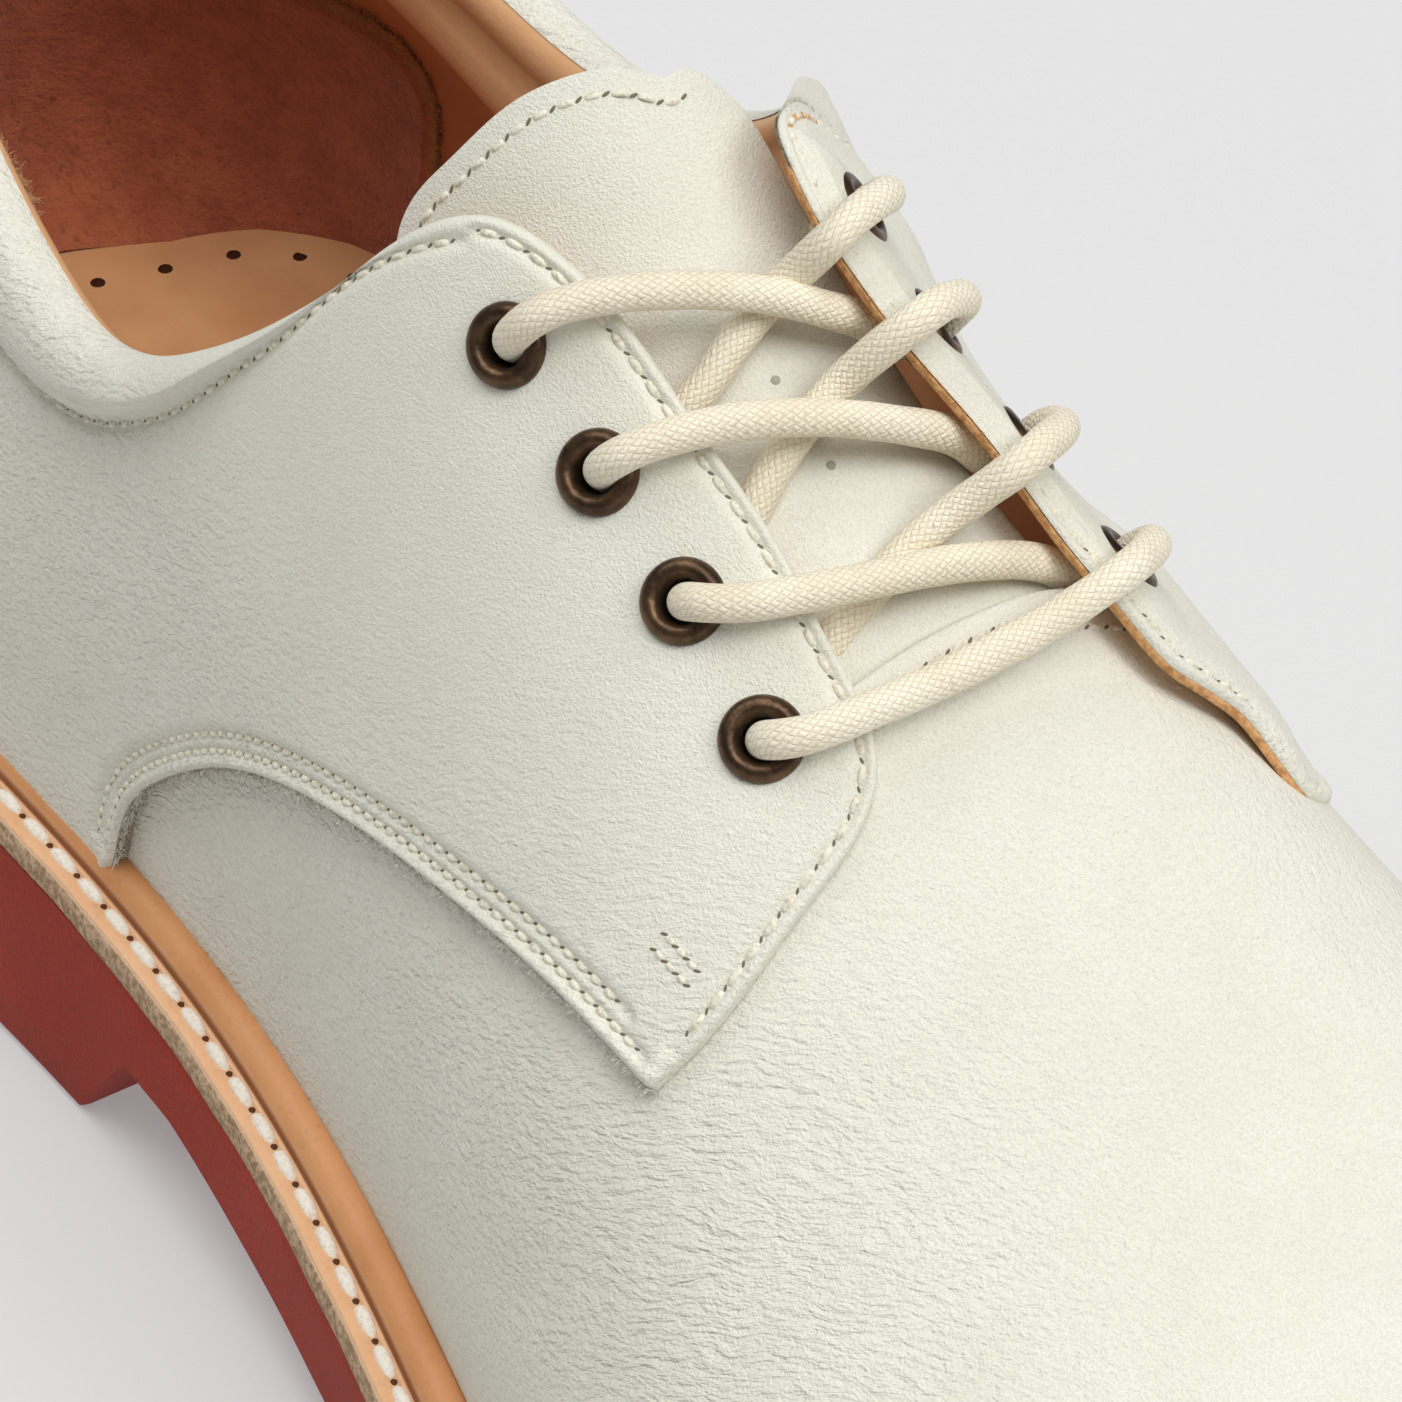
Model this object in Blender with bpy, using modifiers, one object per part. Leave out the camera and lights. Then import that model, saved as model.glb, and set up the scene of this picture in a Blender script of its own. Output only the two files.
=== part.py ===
"""A right buck shoe: a plain-toe derby on a moulded rubber sole, four eyelets a side.

Sizes are millimetres in the tables and metres in the mesh. Length runs from the heel back (0) to
the toe (300), the wearer's outer side is minus Y, and the sole stands on Z = 0. Every piece of the
upper is cut from one surface, wall(side, foot_x, rise): a line starts at a foot on the feather
line, where upper and welt meet, and rises to the ridge over the instep.
"""
import math

import bmesh
import bpy
import numpy as np
from mathutils import Vector

MM = 0.001

# The feather line, seen from above, as named points
FEATHER_POINTS = {
    "heel_back": (6.5, 0.5),
    "heel_outer": (28.0, -27.0),
    "seat_outer": (58.0, -31.3),
    "waist_outer": (101.0, -30.5),
    "flare_outer": (145.0, -37.4),
    "ball_outer": (185.0, -46.0),
    "small_toe": (225.0, -45.5),
    "toe_outer": (263.0, -33.0),
    "toe_tip": (293.5, 4.0),
    "toe_inner": (273.0, 33.0),
    "big_toe": (243.0, 43.0),
    "ball_inner": (207.0, 45.5),
    "waist_inner": (140.0, 31.5),
    "arch_inner": (105.0, 28.5),
    "seat_inner": (58.0, 31.5),
    "heel_inner": (28.0, 28.5),
}
HEEL_X = FEATHER_POINTS["heel_back"][0]
TIP_X = FEATHER_POINTS["toe_tip"][0]

# The last along its length. Columns: x, height of the feather line, ridge above the feather line,
# ridge sideways, squareness of the section, bulge of the lower wall
LAST = np.array([
    (0.0, 25.5, 69.0, -3.0, 2.00, 4.0),
    (40.0, 25.2, 69.0, -3.0, 2.00, 3.0),
    (60.0, 24.7, 72.0, -3.0, 2.00, 2.4),
    (80.0, 23.6, 82.0, -2.6, 2.00, 2.0),
    (105.0, 21.5, 98.0, -1.6, 2.00, 1.5),
    (125.0, 19.3, 87.0, -0.6, 2.00, 1.5),
    (150.0, 16.4, 70.0, 1.6, 2.05, 1.8),
    (175.0, 14.2, 53.5, 4.6, 2.10, 2.4),
    (200.0, 13.0, 41.5, 7.0, 2.20, 3.0),
    (230.0, 13.0, 32.0, 7.0, 2.35, 3.0),
    (260.0, 14.6, 26.5, 5.0, 2.50, 2.6),
    (300.0, 18.5, 23.0, 4.0, 2.60, 2.2),
])
# Where the line from each foot meets the ridge. Columns: foot x, ridge x
RIDGE_MEET = np.array([
    (6.5, 22.0), (40.0, 58.0), (75.0, 93.0), (105.0, 118.5), (160.0, 159.5), (230.0, 210.0), (293.5, 256.0),
])

# Feet of the lines that all pieces share, so that neighbouring facets run side by side
REAR_FEET = (8.0, 11.5, 16.5, 23.0, 30.0, 38.0, 48.0, 58.0, 68.0, 78.0, 88.0, 97.0,
             105.0, 111.0, 117.0, 124.0, 132.0, 140.0, 148.0, 156.0)
FRONT_FEET = (165.0, 174.0, 184.0, 195.0, 206.0, 218.0, 230.0, 241.0, 252.0, 262.0, 271.0, 279.0, 285.5, 290.5)
THROAT_FOOT = 156.0

# Wall and clearances
GAP = 0.4
UPPER_WALL = 1.8
QUARTER_WALL = 1.4
TONGUE_WALL = 2.0

# Upper edge of each quarter, collar first and then the facing. Columns: foot x, rise
OUTER_TOP = np.array([
    (6.5, 0.66), (20.0, 0.645), (36.0, 0.59), (51.0, 0.525), (60.0, 0.48), (70.5, 0.43), (80.0, 0.395),
    (86.5, 0.39), (93.0, 0.405), (100.5, 0.45), (105.0, 0.51), (108.5, 0.595), (112.5, 0.68), (118.5, 0.74),
    (124.5, 0.772), (134.0, 0.797), (143.0, 0.818), (152.0, 0.823), (159.5, 0.822), (165.0, 0.77),
])
INNER_TOP = np.array([
    (6.5, 0.66), (20.0, 0.635), (33.0, 0.562), (46.0, 0.478), (58.5, 0.433), (66.0, 0.418), (80.0, 0.408),
    (94.0, 0.431), (101.0, 0.483), (106.0, 0.573), (110.0, 0.70), (113.0, 0.81), (117.0, 0.895), (121.0, 0.925),
    (128.0, 0.925), (135.0, 0.91), (143.0, 0.88), (150.0, 0.862), (157.5, 0.85), (163.5, 0.82), (168.0, 0.775),
    (174.0, 0.715),
])
# Lower edge of each quarter, where it laps the vamp. Columns: foot x, rise
OUTER_LAP = np.array([
    (86.5, 0.0), (89.5, 0.045), (95.5, 0.107), (103.5, 0.155), (116.0, 0.223), (129.0, 0.297), (141.5, 0.365),
    (154.0, 0.432), (165.0, 0.482),
])
INNER_LAP = np.array([
    (86.5, 0.0), (89.5, 0.045), (95.5, 0.107), (103.5, 0.155), (116.0, 0.223), (129.0, 0.297), (141.5, 0.365),
    (154.0, 0.432), (165.0, 0.482), (174.0, 0.525),
])
EDGE_UNDER_COLLAR = 0.014
EDGE_UNDER_FACING = 0.042

# Eyelet centres. Columns: foot x, rise
OUTER_EYELETS = ((120.0, 0.647), (131.5, 0.680), (143.0, 0.705), (154.5, 0.720))
INNER_EYELETS = ((124.0, 0.815), (133.5, 0.795), (143.5, 0.770), (154.0, 0.750))
EYELET_HOLE = 2.4
PLUG_LENGTH = 12.0
# Turned section of an eyelet. Columns: radius, height above the quarter
EYELET_SECTION = ((1.65, 0.8), (2.10, 1.25), (2.90, 1.2), (3.25, 0.75), (3.05, 0.4), (2.00, 0.4), (2.00, -3.2),
                  (1.60, -3.2))

# Lace
LACE_RADIUS = 1.5
LACE_LIFT = 5.2

# Welt section, from the feather line. Columns: outward, height
WELT_SECTION = ((-3.0, -2.9), (6.0, -2.9), (6.2, -2.6), (6.2, -0.6), (5.9, -0.3), (3.3, -0.4), (3.15, 0.7),
                (2.6, 1.5), (1.7, 1.7), (1.0, 1.2), (0.8, 0.0), (-3.0, 0.0))
WELT_THICK = 2.9

# Outsole
SOLE_TOP_OUT = 6.1
SOLE_FOOT_OUT = 5.6
# Tread line from the side. Columns: foot x, height
TREAD = np.array([
    (6.5, 0.0), (88.0, 0.0), (97.0, 11.2), (105.0, 10.9), (117.0, 8.0), (132.0, 5.0), (148.0, 2.6), (165.0, 0.9),
    (184.0, 0.0), (218.0, 0.0), (241.0, 1.4), (262.0, 3.9), (279.0, 6.3), (293.5, 8.8),
])

# Insole
INSOLE_IN = 3.5
INSOLE_TOP = 2.6

# Tongue end. Columns: across the throat as rise still to go, minus on the outer side; foot x of the end
TONGUE_END = np.array([
    (-0.44, 110.5), (-0.40, 107.5), (-0.34, 106.5), (-0.26, 106.5), (-0.18, 107.0), (-0.10, 108.0), (-0.04, 108.6),
    (0.0, 109.2), (0.05, 110.6), (0.10, 113.5), (0.15, 117.5), (0.20, 122.0),
])
TONGUE_FEET = (165.0, 156.0, 148.0, 140.0, 132.0, 125.0)
TONGUE_END_ROWS = 3


# Curves
def open_curve(table, column=1):
    """Cubic through the table's points, with no bend at the two ends."""
    xs = table[:, 0]
    ys = table[:, column]
    count = len(xs)
    step = np.diff(xs)
    matrix = np.eye(count)
    right = np.zeros(count)
    for i in range(1, count - 1):
        matrix[i, i - 1:i + 2] = (step[i - 1], 2 * (step[i - 1] + step[i]), step[i])
        right[i] = 6 * ((ys[i + 1] - ys[i]) / step[i] - (ys[i] - ys[i - 1]) / step[i - 1])
    bend = np.linalg.solve(matrix, right)

    def at(x):
        x = np.clip(np.asarray(x, float), xs[0], xs[-1])
        k = np.clip(np.searchsorted(xs, x) - 1, 0, count - 2)
        b = (x - xs[k]) / step[k]
        a = 1 - b
        return a * ys[k] + b * ys[k + 1] + ((a**3 - a) * bend[k] + (b**3 - b) * bend[k + 1]) * step[k]**2 / 6
    return at


def closed_curve(points):
    """Cubic loop through the points, with a parameter from 0 to 1 along the chords."""
    points = np.array(points, float)
    count = len(points)
    step = np.linalg.norm(np.roll(points, -1, 0) - points, axis=1)
    knots = np.concatenate([[0.0], np.cumsum(step)])
    matrix = np.zeros((count, count))
    right = np.zeros((count, 2))
    for i in range(count):
        after = (i + 1) % count
        matrix[i, i - 1] += step[i - 1]
        matrix[i, i] += 2 * (step[i - 1] + step[i])
        matrix[i, after] += step[i]
        right[i] = 6 * ((points[after] - points[i]) / step[i] - (points[i] - points[i - 1]) / step[i - 1])
    bend = np.linalg.solve(matrix, right)

    def at(u):
        s = np.asarray(u, float) % 1 * knots[-1]
        k = np.clip(np.searchsorted(knots, s, side="right") - 1, 0, count - 1)
        after = (k + 1) % count
        a = ((knots[k + 1] - s) / step[k])[..., None]
        b = 1 - a
        wide = step[k][..., None]**2 / 6
        return a * points[k] + b * points[after] + ((a**3 - a) * bend[k] + (b**3 - b) * bend[after]) * wide
    return at, knots[:-1] / knots[-1]


feather, feather_knots = closed_curve(list(FEATHER_POINTS.values()))
TIP_U = feather_knots[list(FEATHER_POINTS).index("toe_tip")]
feather_height, ridge_height, ridge_side, squareness, bulge = (open_curve(LAST, c) for c in range(1, 6))
ridge_meet = open_curve(RIDGE_MEET)
SCAN = np.linspace(0.0, 1.0, 8001)
SCAN_X = feather(SCAN)[:, 0]


def foot_parameter(side, foot_x):
    """Place on the feather line of a foot: side -1 is the outer side, +1 the inner side."""
    part = SCAN <= TIP_U if side < 0 else SCAN >= TIP_U
    order = np.argsort(SCAN_X[part], kind="stable")
    return np.interp(foot_x, SCAN_X[part][order], SCAN[part][order])


def outward(u):
    """Level unit vector out of the feather line."""
    along = feather(u + 1e-4) - feather(u - 1e-4)
    along /= np.linalg.norm(along, axis=-1, keepdims=True)
    return np.stack([along[..., 1], -along[..., 0]], axis=-1)


def wall(side, foot_x, rise):
    """Outer surface of the upper: rise 0 is the feather line and 1 the ridge.

    With angle = rise * 90 degrees and n the squareness, the line goes in by 1 - cos(angle)^(2/n) of
    its way to the ridge and up by sin(angle)^(2/n) of the ridge height; the bulge pushes it out low.
    """
    foot_x, rise = np.broadcast_arrays(np.asarray(foot_x, float), np.asarray(rise, float))
    foot = feather(foot_parameter(side, foot_x))
    power = 2 / squareness(foot[..., 0])
    angle = np.clip(rise, 0.0, 1.0) * math.pi / 2
    inward = 1 - np.clip(np.cos(angle), 0.0, 1.0)**power
    up = np.sin(angle)**power
    meet = ridge_meet(foot[..., 0])
    way = np.stack([meet - foot[..., 0], ridge_side(meet) - foot[..., 1]], axis=-1)
    length = np.linalg.norm(way, axis=-1)
    push = bulge(foot[..., 0]) * 6.75 * up * (1 - up)**2
    flat = foot + way * (inward - push / length)[..., None]
    height = feather_height(flat[..., 0]) + ridge_height(flat[..., 0]) * up
    return np.concatenate([flat, height[..., None]], axis=-1)


def wall_normal(side, foot_x, rise):
    """Unit vector out of the upper's surface, level with the ridge's own slope at the ridge."""
    foot_x, rise = np.broadcast_arrays(np.asarray(foot_x, float), np.asarray(rise, float))
    rise = np.clip(rise, 0.002, 0.985)
    along = wall(side, foot_x + 0.4, rise) - wall(side, foot_x - 0.4, rise)
    up = wall(side, foot_x, rise + 0.002) - wall(side, foot_x, rise - 0.002)
    normal = np.cross(along, up) if side < 0 else np.cross(up, along)
    return normal / np.linalg.norm(normal, axis=-1, keepdims=True)


# The frame: the middle of the sole's box stands at the origin
SOLE_LOOP = feather(SCAN) + outward(SCAN) * WELT_SECTION[3][0]
CENTRE = np.append((SOLE_LOOP.min(axis=0) + SOLE_LOOP.max(axis=0)) / 2, 0.0)


# Objects and materials
for old in list(bpy.data.objects):
    bpy.data.objects.remove(old, do_unlink=True)
shoe = bpy.data.collections.new("buck_shoe")
cutters = bpy.data.collections.new("cutters")
bpy.context.scene.collection.children.link(shoe)
bpy.context.scene.collection.children.link(cutters)
cutters.hide_render = True

# Columns: material, colour, roughness, metallic
MATERIALS = {
    "nubuck": ((0.80, 0.78, 0.69), 0.75, 0.0),
    "tan_leather": ((0.62, 0.36, 0.19), 0.55, 0.0),
    "brick_rubber": ((0.33, 0.085, 0.06), 0.65, 0.0),
    "antique_brass": ((0.16, 0.10, 0.06), 0.35, 0.9),
    "cotton": ((0.83, 0.77, 0.64), 0.85, 0.0),
}
for material_name, (colour, rough, metal) in MATERIALS.items():
    made = bpy.data.materials.new(material_name)
    made.use_nodes = True
    shader = made.node_tree.nodes["Principled BSDF"]
    shader.inputs["Base Color"].default_value = (*colour, 1.0)
    shader.inputs["Roughness"].default_value = rough
    shader.inputs["Metallic"].default_value = metal
    made.diffuse_color = (*colour, 1.0)


def solid(name, points, faces, material, collection=shoe):
    """One mesh from points in millimetres."""
    mesh = bpy.data.meshes.new(name)
    mesh.from_pydata([tuple(p) for p in (np.asarray(points) - CENTRE) * MM], [], faces)
    mesh.validate()
    made = bpy.data.objects.new(name, mesh)
    if material:
        mesh.materials.append(bpy.data.materials[material])
    collection.objects.link(made)
    if collection is cutters:
        made.display_type = "WIRE"
        made.hide_render = True
    return made


def sheet(name, points, faces, material, thickness, grow):
    """Open surface with Solidify: grow -1 thickens it behind its faces and +1 in front of them."""
    made = solid(name, points, faces, material)
    thicken = made.modifiers.new("wall", "SOLIDIFY")
    thicken.thickness = thickness * MM
    thicken.offset = grow
    thicken.use_even_offset = True
    thicken.use_quality_normals = True
    made.data.shade_smooth()
    return made


def grid_faces(rows, columns):
    """Quads of a grid whose points are numbered row by row."""
    return [(r * columns + c, r * columns + c + 1, (r + 1) * columns + c + 1, (r + 1) * columns + c)
            for r in range(rows - 1) for c in range(columns - 1)]


def subtract(target, cutter):
    """Exact cut kept as a modifier."""
    cut = target.modifiers.new(cutter.name, "BOOLEAN")
    cut.operation = "DIFFERENCE"
    cut.solver = "EXACT"
    cut.object = cutter


# Loop of feet round the shoe: heel back, outer side, tip, inner side
ALL_FEET = REAR_FEET + FRONT_FEET
LOOP_U = np.concatenate([
    [0.0], foot_parameter(-1, np.array(ALL_FEET)), [TIP_U], foot_parameter(1, np.array(ALL_FEET[::-1])),
])
LOOP_FOOT = np.concatenate([[HEEL_X], ALL_FEET, [TIP_X], ALL_FEET[::-1]])
LOOP_COUNT = len(LOOP_U)
LOOP_XY = feather(LOOP_U)
LOOP_OUT = outward(LOOP_U)
LOOP_Z = feather_height(LOOP_FOOT)


def loop_line(out, height):
    """The loop moved out of the feather line, at one height or one for each foot."""
    return np.column_stack([LOOP_XY + LOOP_OUT * out, np.broadcast_to(height, LOOP_COUNT)])


def strip_faces(first, upward):
    """Faces that fill a loop from side to side, from point number first on."""
    last = LOOP_COUNT - 1
    half = LOOP_COUNT // 2
    faces = [(first, first + 1, first + last)]
    for k in range(1, half - 1):
        faces.append((first + k, first + k + 1, first + last - k, first + last - k + 1))
    faces.append((first + half - 1, first + half, first + half + 1))
    return faces if upward else [tuple(reversed(face)) for face in faces]


def slab(name, low, high, material):
    """Closed slab between two loops that run round the shoe."""
    n = LOOP_COUNT
    sides = [(k, (k + 1) % n, (k + 1) % n + n, k + n) for k in range(n)]
    return solid(name, np.concatenate([low, high]), strip_faces(0, False) + strip_faces(n, True) + sides, material)


# Outsole: moulded rubber with the heel, a slanted breast, an arch and a little toe spring
tread = np.interp(LOOP_FOOT, TREAD[:, 0], TREAD[:, 1])
slab("outsole", loop_line(SOLE_FOOT_OUT, tread), loop_line(SOLE_TOP_OUT, LOOP_Z - WELT_THICK - GAP), "brick_rubber")

# Welt: a flat strip all round the shoe with a bead against the upper
welt_points = np.concatenate([loop_line(out, LOOP_Z + height) for out, height in WELT_SECTION])
welt_rows = len(WELT_SECTION)
welt_faces = []
for row in range(welt_rows):
    following = (row + 1) % welt_rows
    for k in range(LOOP_COUNT):
        ahead = (k + 1) % LOOP_COUNT
        welt_faces.append((row * LOOP_COUNT + k, row * LOOP_COUNT + ahead,
                           following * LOOP_COUNT + ahead, following * LOOP_COUNT + k))
solid("welt", welt_points, welt_faces, "tan_leather")

# Insole: the board that fills the well of the welt
slab("insole", loop_line(-INSOLE_IN, LOOP_Z - WELT_THICK), loop_line(-INSOLE_IN, LOOP_Z + INSOLE_TOP), "tan_leather")


# Upper: one shell, open at the collar, down the throat and underneath
outer_top = open_curve(OUTER_TOP)
inner_top = open_curve(INNER_TOP)


def upper_edge(side, foot_x):
    """Rise of the shell's edge, hidden under the quarter's own edge."""
    foot_x = np.minimum(foot_x, THROAT_FOOT)
    top = outer_top(foot_x) if side < 0 else inner_top(foot_x)
    under = np.interp(foot_x, (104.0, 116.0), (EDGE_UNDER_COLLAR, EDGE_UNDER_FACING))
    return top - under


SIDE_ROWS = 8
VAMP_ROWS = 5
loop_side = np.where(np.arange(LOOP_COUNT) <= LOOP_COUNT // 2, -1, 1)
loop_edge = np.array([upper_edge(s, x) for s, x in zip(loop_side, LOOP_FOOT)])
# At the tip both sides meet, so the rows there stand between the two
loop_edge[LOOP_COUNT // 2] = loop_edge[[LOOP_COUNT // 2 - 1, LOOP_COUNT // 2 + 1]].mean()
shell_points = []


def shell_point(side, foot_x, rise):
    """Number of a new point of the shell; its lowest row stands a gap above the welt."""
    lift = (0.0, 0.0, GAP if rise < 1e-6 else 0.0)
    shell_points.append(wall(side, foot_x, rise) + lift)
    return len(shell_points) - 1


side_numbers = np.zeros((SIDE_ROWS + 1, LOOP_COUNT), int)
for row in range(SIDE_ROWS + 1):
    for k in range(LOOP_COUNT):
        side_numbers[row, k] = shell_point(loop_side[k], LOOP_FOOT[k], loop_edge[k] * row / SIDE_ROWS)
shell_faces = []
for row in range(SIDE_ROWS):
    for k in range(LOOP_COUNT):
        ahead = (k + 1) % LOOP_COUNT
        shell_faces.append((int(side_numbers[row, k]), int(side_numbers[row, ahead]),
                            int(side_numbers[row + 1, ahead]), int(side_numbers[row + 1, k])))
# The vamp closes over the ridge in front of the throat
vamp_first = 1 + ALL_FEET.index(THROAT_FOOT)
vamp_last = LOOP_COUNT - vamp_first
vamp_columns = list(range(vamp_first, vamp_last + 1))
vamp_numbers = {}
for k in vamp_columns:
    vamp_numbers[0, k] = int(side_numbers[SIDE_ROWS, k])
    for row in range(1, VAMP_ROWS + 1):
        rest = (1 - row / VAMP_ROWS)**1.5
        rise = 1 - (1 - loop_edge[k]) * rest
        mirror = LOOP_COUNT - k
        if row == VAMP_ROWS and (row, mirror) in vamp_numbers:
            vamp_numbers[row, k] = vamp_numbers[row, mirror]
        else:
            vamp_numbers[row, k] = shell_point(loop_side[k], LOOP_FOOT[k], rise)
for row in range(VAMP_ROWS):
    for k in vamp_columns[:-1]:
        face = [vamp_numbers[row, k], vamp_numbers[row, k + 1], vamp_numbers[row + 1, k + 1], vamp_numbers[row + 1, k]]
        shell_faces.append(tuple(face))
upper = sheet("upper", shell_points, shell_faces, "nubuck", UPPER_WALL, -1)


# Quarters: one on each side, over the vamp, from the facing to the back seam
def quarter(name, side, top, lap, end_foot):
    """Sheet between its lap edge and its upper edge, on the shared lines."""
    feet = np.array([HEEL_X + 0.002] + [f for f in ALL_FEET if f < end_foot] + [end_foot])
    rows = 7
    low = np.where(feet < lap[0, 0], 0.03, np.interp(feet, lap[:, 0], lap[:, 1]))
    low = np.maximum(low, 0.03)
    high = open_curve(top)(feet)
    part = np.linspace(0.0, 1.0, rows + 1)[:, None]
    rise = low + (high - low) * part
    across = np.broadcast_to(feet, rise.shape)
    skin = wall(side, across, rise)
    normal = wall_normal(side, across, rise)
    faces = grid_faces(rows + 1, len(feet))
    if side > 0:
        faces = [tuple(reversed(face)) for face in faces]
    return sheet(name, (skin + normal * GAP).reshape(-1, 3), faces, "nubuck", QUARTER_WALL, 1)


quarter_outer = quarter("quarter_outer", -1, OUTER_TOP, OUTER_LAP, 165.0)
quarter_inner = quarter("quarter_inner", 1, INNER_TOP, INNER_LAP, 174.0)

# Tongue: lies inside the shell, from under the vamp to behind the top eyelets
tongue_across = TONGUE_END[None, :, 0]
straight = np.array(TONGUE_FEET)[:, None] + 0 * tongue_across
share = np.linspace(0.0, 1.0, TONGUE_END_ROWS + 1)[1:, None]
tongue_foot = np.concatenate([straight, TONGUE_FEET[-1] + (TONGUE_END[None, :, 1] - TONGUE_FEET[-1]) * share])
tongue_rise = 1 - np.abs(np.broadcast_to(tongue_across, tongue_foot.shape))
outer_half = tongue_across <= 0
tongue_skin = np.where(outer_half[..., None], wall(-1, tongue_foot, tongue_rise), wall(1, tongue_foot, tongue_rise))
tongue_normal = np.where(outer_half[..., None], wall_normal(-1, tongue_foot, tongue_rise),
                         wall_normal(1, tongue_foot, tongue_rise))
tongue_depth = UPPER_WALL + 2 * GAP
sheet("tongue", (tongue_skin - tongue_normal * tongue_depth).reshape(-1, 3),
      grid_faces(*tongue_foot.shape), "nubuck", TONGUE_WALL, -1)


# Eyelets: turned rings, each through a hole in the quarter and the shell
def stand(made, place, axis):
    """Stand an object's own Z along an axis at a place in millimetres."""
    made.rotation_mode = "QUATERNION"
    made.rotation_quaternion = Vector((0.0, 0.0, 1.0)).rotation_difference(Vector(axis))
    made.location = (place - CENTRE) * MM


def eyelet(name, place, axis):
    """Section turned about its own Z by a Screw modifier."""
    mesh = bpy.data.meshes.new(name)
    count = len(EYELET_SECTION)
    points = [(radius * MM, 0.0, height * MM) for radius, height in EYELET_SECTION]
    mesh.from_pydata(points, [(k, (k + 1) % count) for k in range(count)], [])
    mesh.materials.append(bpy.data.materials["antique_brass"])
    made = bpy.data.objects.new(name, mesh)
    shoe.objects.link(made)
    screw = made.modifiers.new("turn", "SCREW")
    screw.steps = 12
    screw.render_steps = 12
    screw.use_merge_vertices = True
    screw.merge_threshold = 0.000001
    screw.use_smooth_shade = True
    stand(made, place, axis)


def plug(name, place, axis):
    """Cylinder that cuts one eyelet hole."""
    mesh = bpy.data.meshes.new(name)
    shape = bmesh.new()
    bmesh.ops.create_cone(shape, cap_ends=True, segments=16, radius1=EYELET_HOLE * MM, radius2=EYELET_HOLE * MM,
                          depth=PLUG_LENGTH * MM)
    shape.to_mesh(mesh)
    shape.free()
    made = bpy.data.objects.new(name, mesh)
    cutters.objects.link(made)
    made.display_type = "WIRE"
    made.hide_render = True
    stand(made, place, axis)
    return made


for side, side_name, centres, panel in ((-1, "outer", OUTER_EYELETS, quarter_outer),
                                        (1, "inner", INNER_EYELETS, quarter_inner)):
    for number, (foot_x, rise) in enumerate(centres, 1):
        axis = wall_normal(side, foot_x, rise)
        place = wall(side, foot_x, rise) + axis * (GAP + QUARTER_WALL)
        eyelet("eyelet_%s_%d" % (side_name, number), place, axis)
        hole = plug("hole_%s_%d" % (side_name, number), place, axis)
        subtract(panel, hole)
        subtract(upper, hole)


# Lace: crossings and a bar between the eyelets, joined where they touch
def lace_strand(name, start, end, collection):
    """Bevelled curve over the throat from an outer eyelet to an inner one, made a mesh."""
    part = np.linspace(0.0, 1.0, 12)
    across = -(1 - start[1]) + part * ((1 - start[1]) + (1 - end[1]))
    foot_x = start[0] + part * (end[0] - start[0])
    curve = bpy.data.curves.new(name, "CURVE")
    curve.dimensions = "3D"
    curve.bevel_depth = LACE_RADIUS * MM
    curve.bevel_resolution = 2
    curve.use_fill_caps = True
    line = curve.splines.new("POLY")
    line.points.add(len(part) - 1)
    for point, x, a in zip(line.points, foot_x, across):
        side = -1 if a <= 0 else 1
        place = wall(side, x, 1 - abs(a)) + wall_normal(side, x, 1 - abs(a)) * LACE_LIFT
        point.co = (*((place - CENTRE) * MM), 1.0)
    drawn = bpy.data.objects.new(name + "_curve", curve)
    shoe.objects.link(drawn)
    mesh = bpy.data.meshes.new_from_object(drawn.evaluated_get(bpy.context.evaluated_depsgraph_get()))
    bpy.data.objects.remove(drawn, do_unlink=True)
    shape = bmesh.new()
    shape.from_mesh(mesh)
    bmesh.ops.remove_doubles(shape, verts=shape.verts, dist=0.000001)
    shape.to_mesh(mesh)
    shape.free()
    mesh.materials.clear()
    mesh.materials.append(bpy.data.materials["cotton"])
    made = bpy.data.objects.new(name, mesh)
    collection.objects.link(made)
    return made


# Columns: outer eyelet, inner eyelet
STRANDS = ((0, 1), (1, 0), (1, 2), (2, 1), (2, 3), (3, 2), (3, 3))
lace = lace_strand("lace", OUTER_EYELETS[STRANDS[0][0]], INNER_EYELETS[STRANDS[0][1]], shoe)
for number, (outer_eyelet, inner_eyelet) in enumerate(STRANDS[1:], 2):
    strand = lace_strand("strand_%d" % number, OUTER_EYELETS[outer_eyelet], INNER_EYELETS[inner_eyelet], cutters)
    strand.display_type = "WIRE"
    strand.hide_render = True
    join = lace.modifiers.new(strand.name, "BOOLEAN")
    join.operation = "UNION"
    join.solver = "EXACT"
    join.object = strand
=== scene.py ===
import math

import bmesh
import bpy
import numpy as np
from mathutils import Matrix


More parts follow.
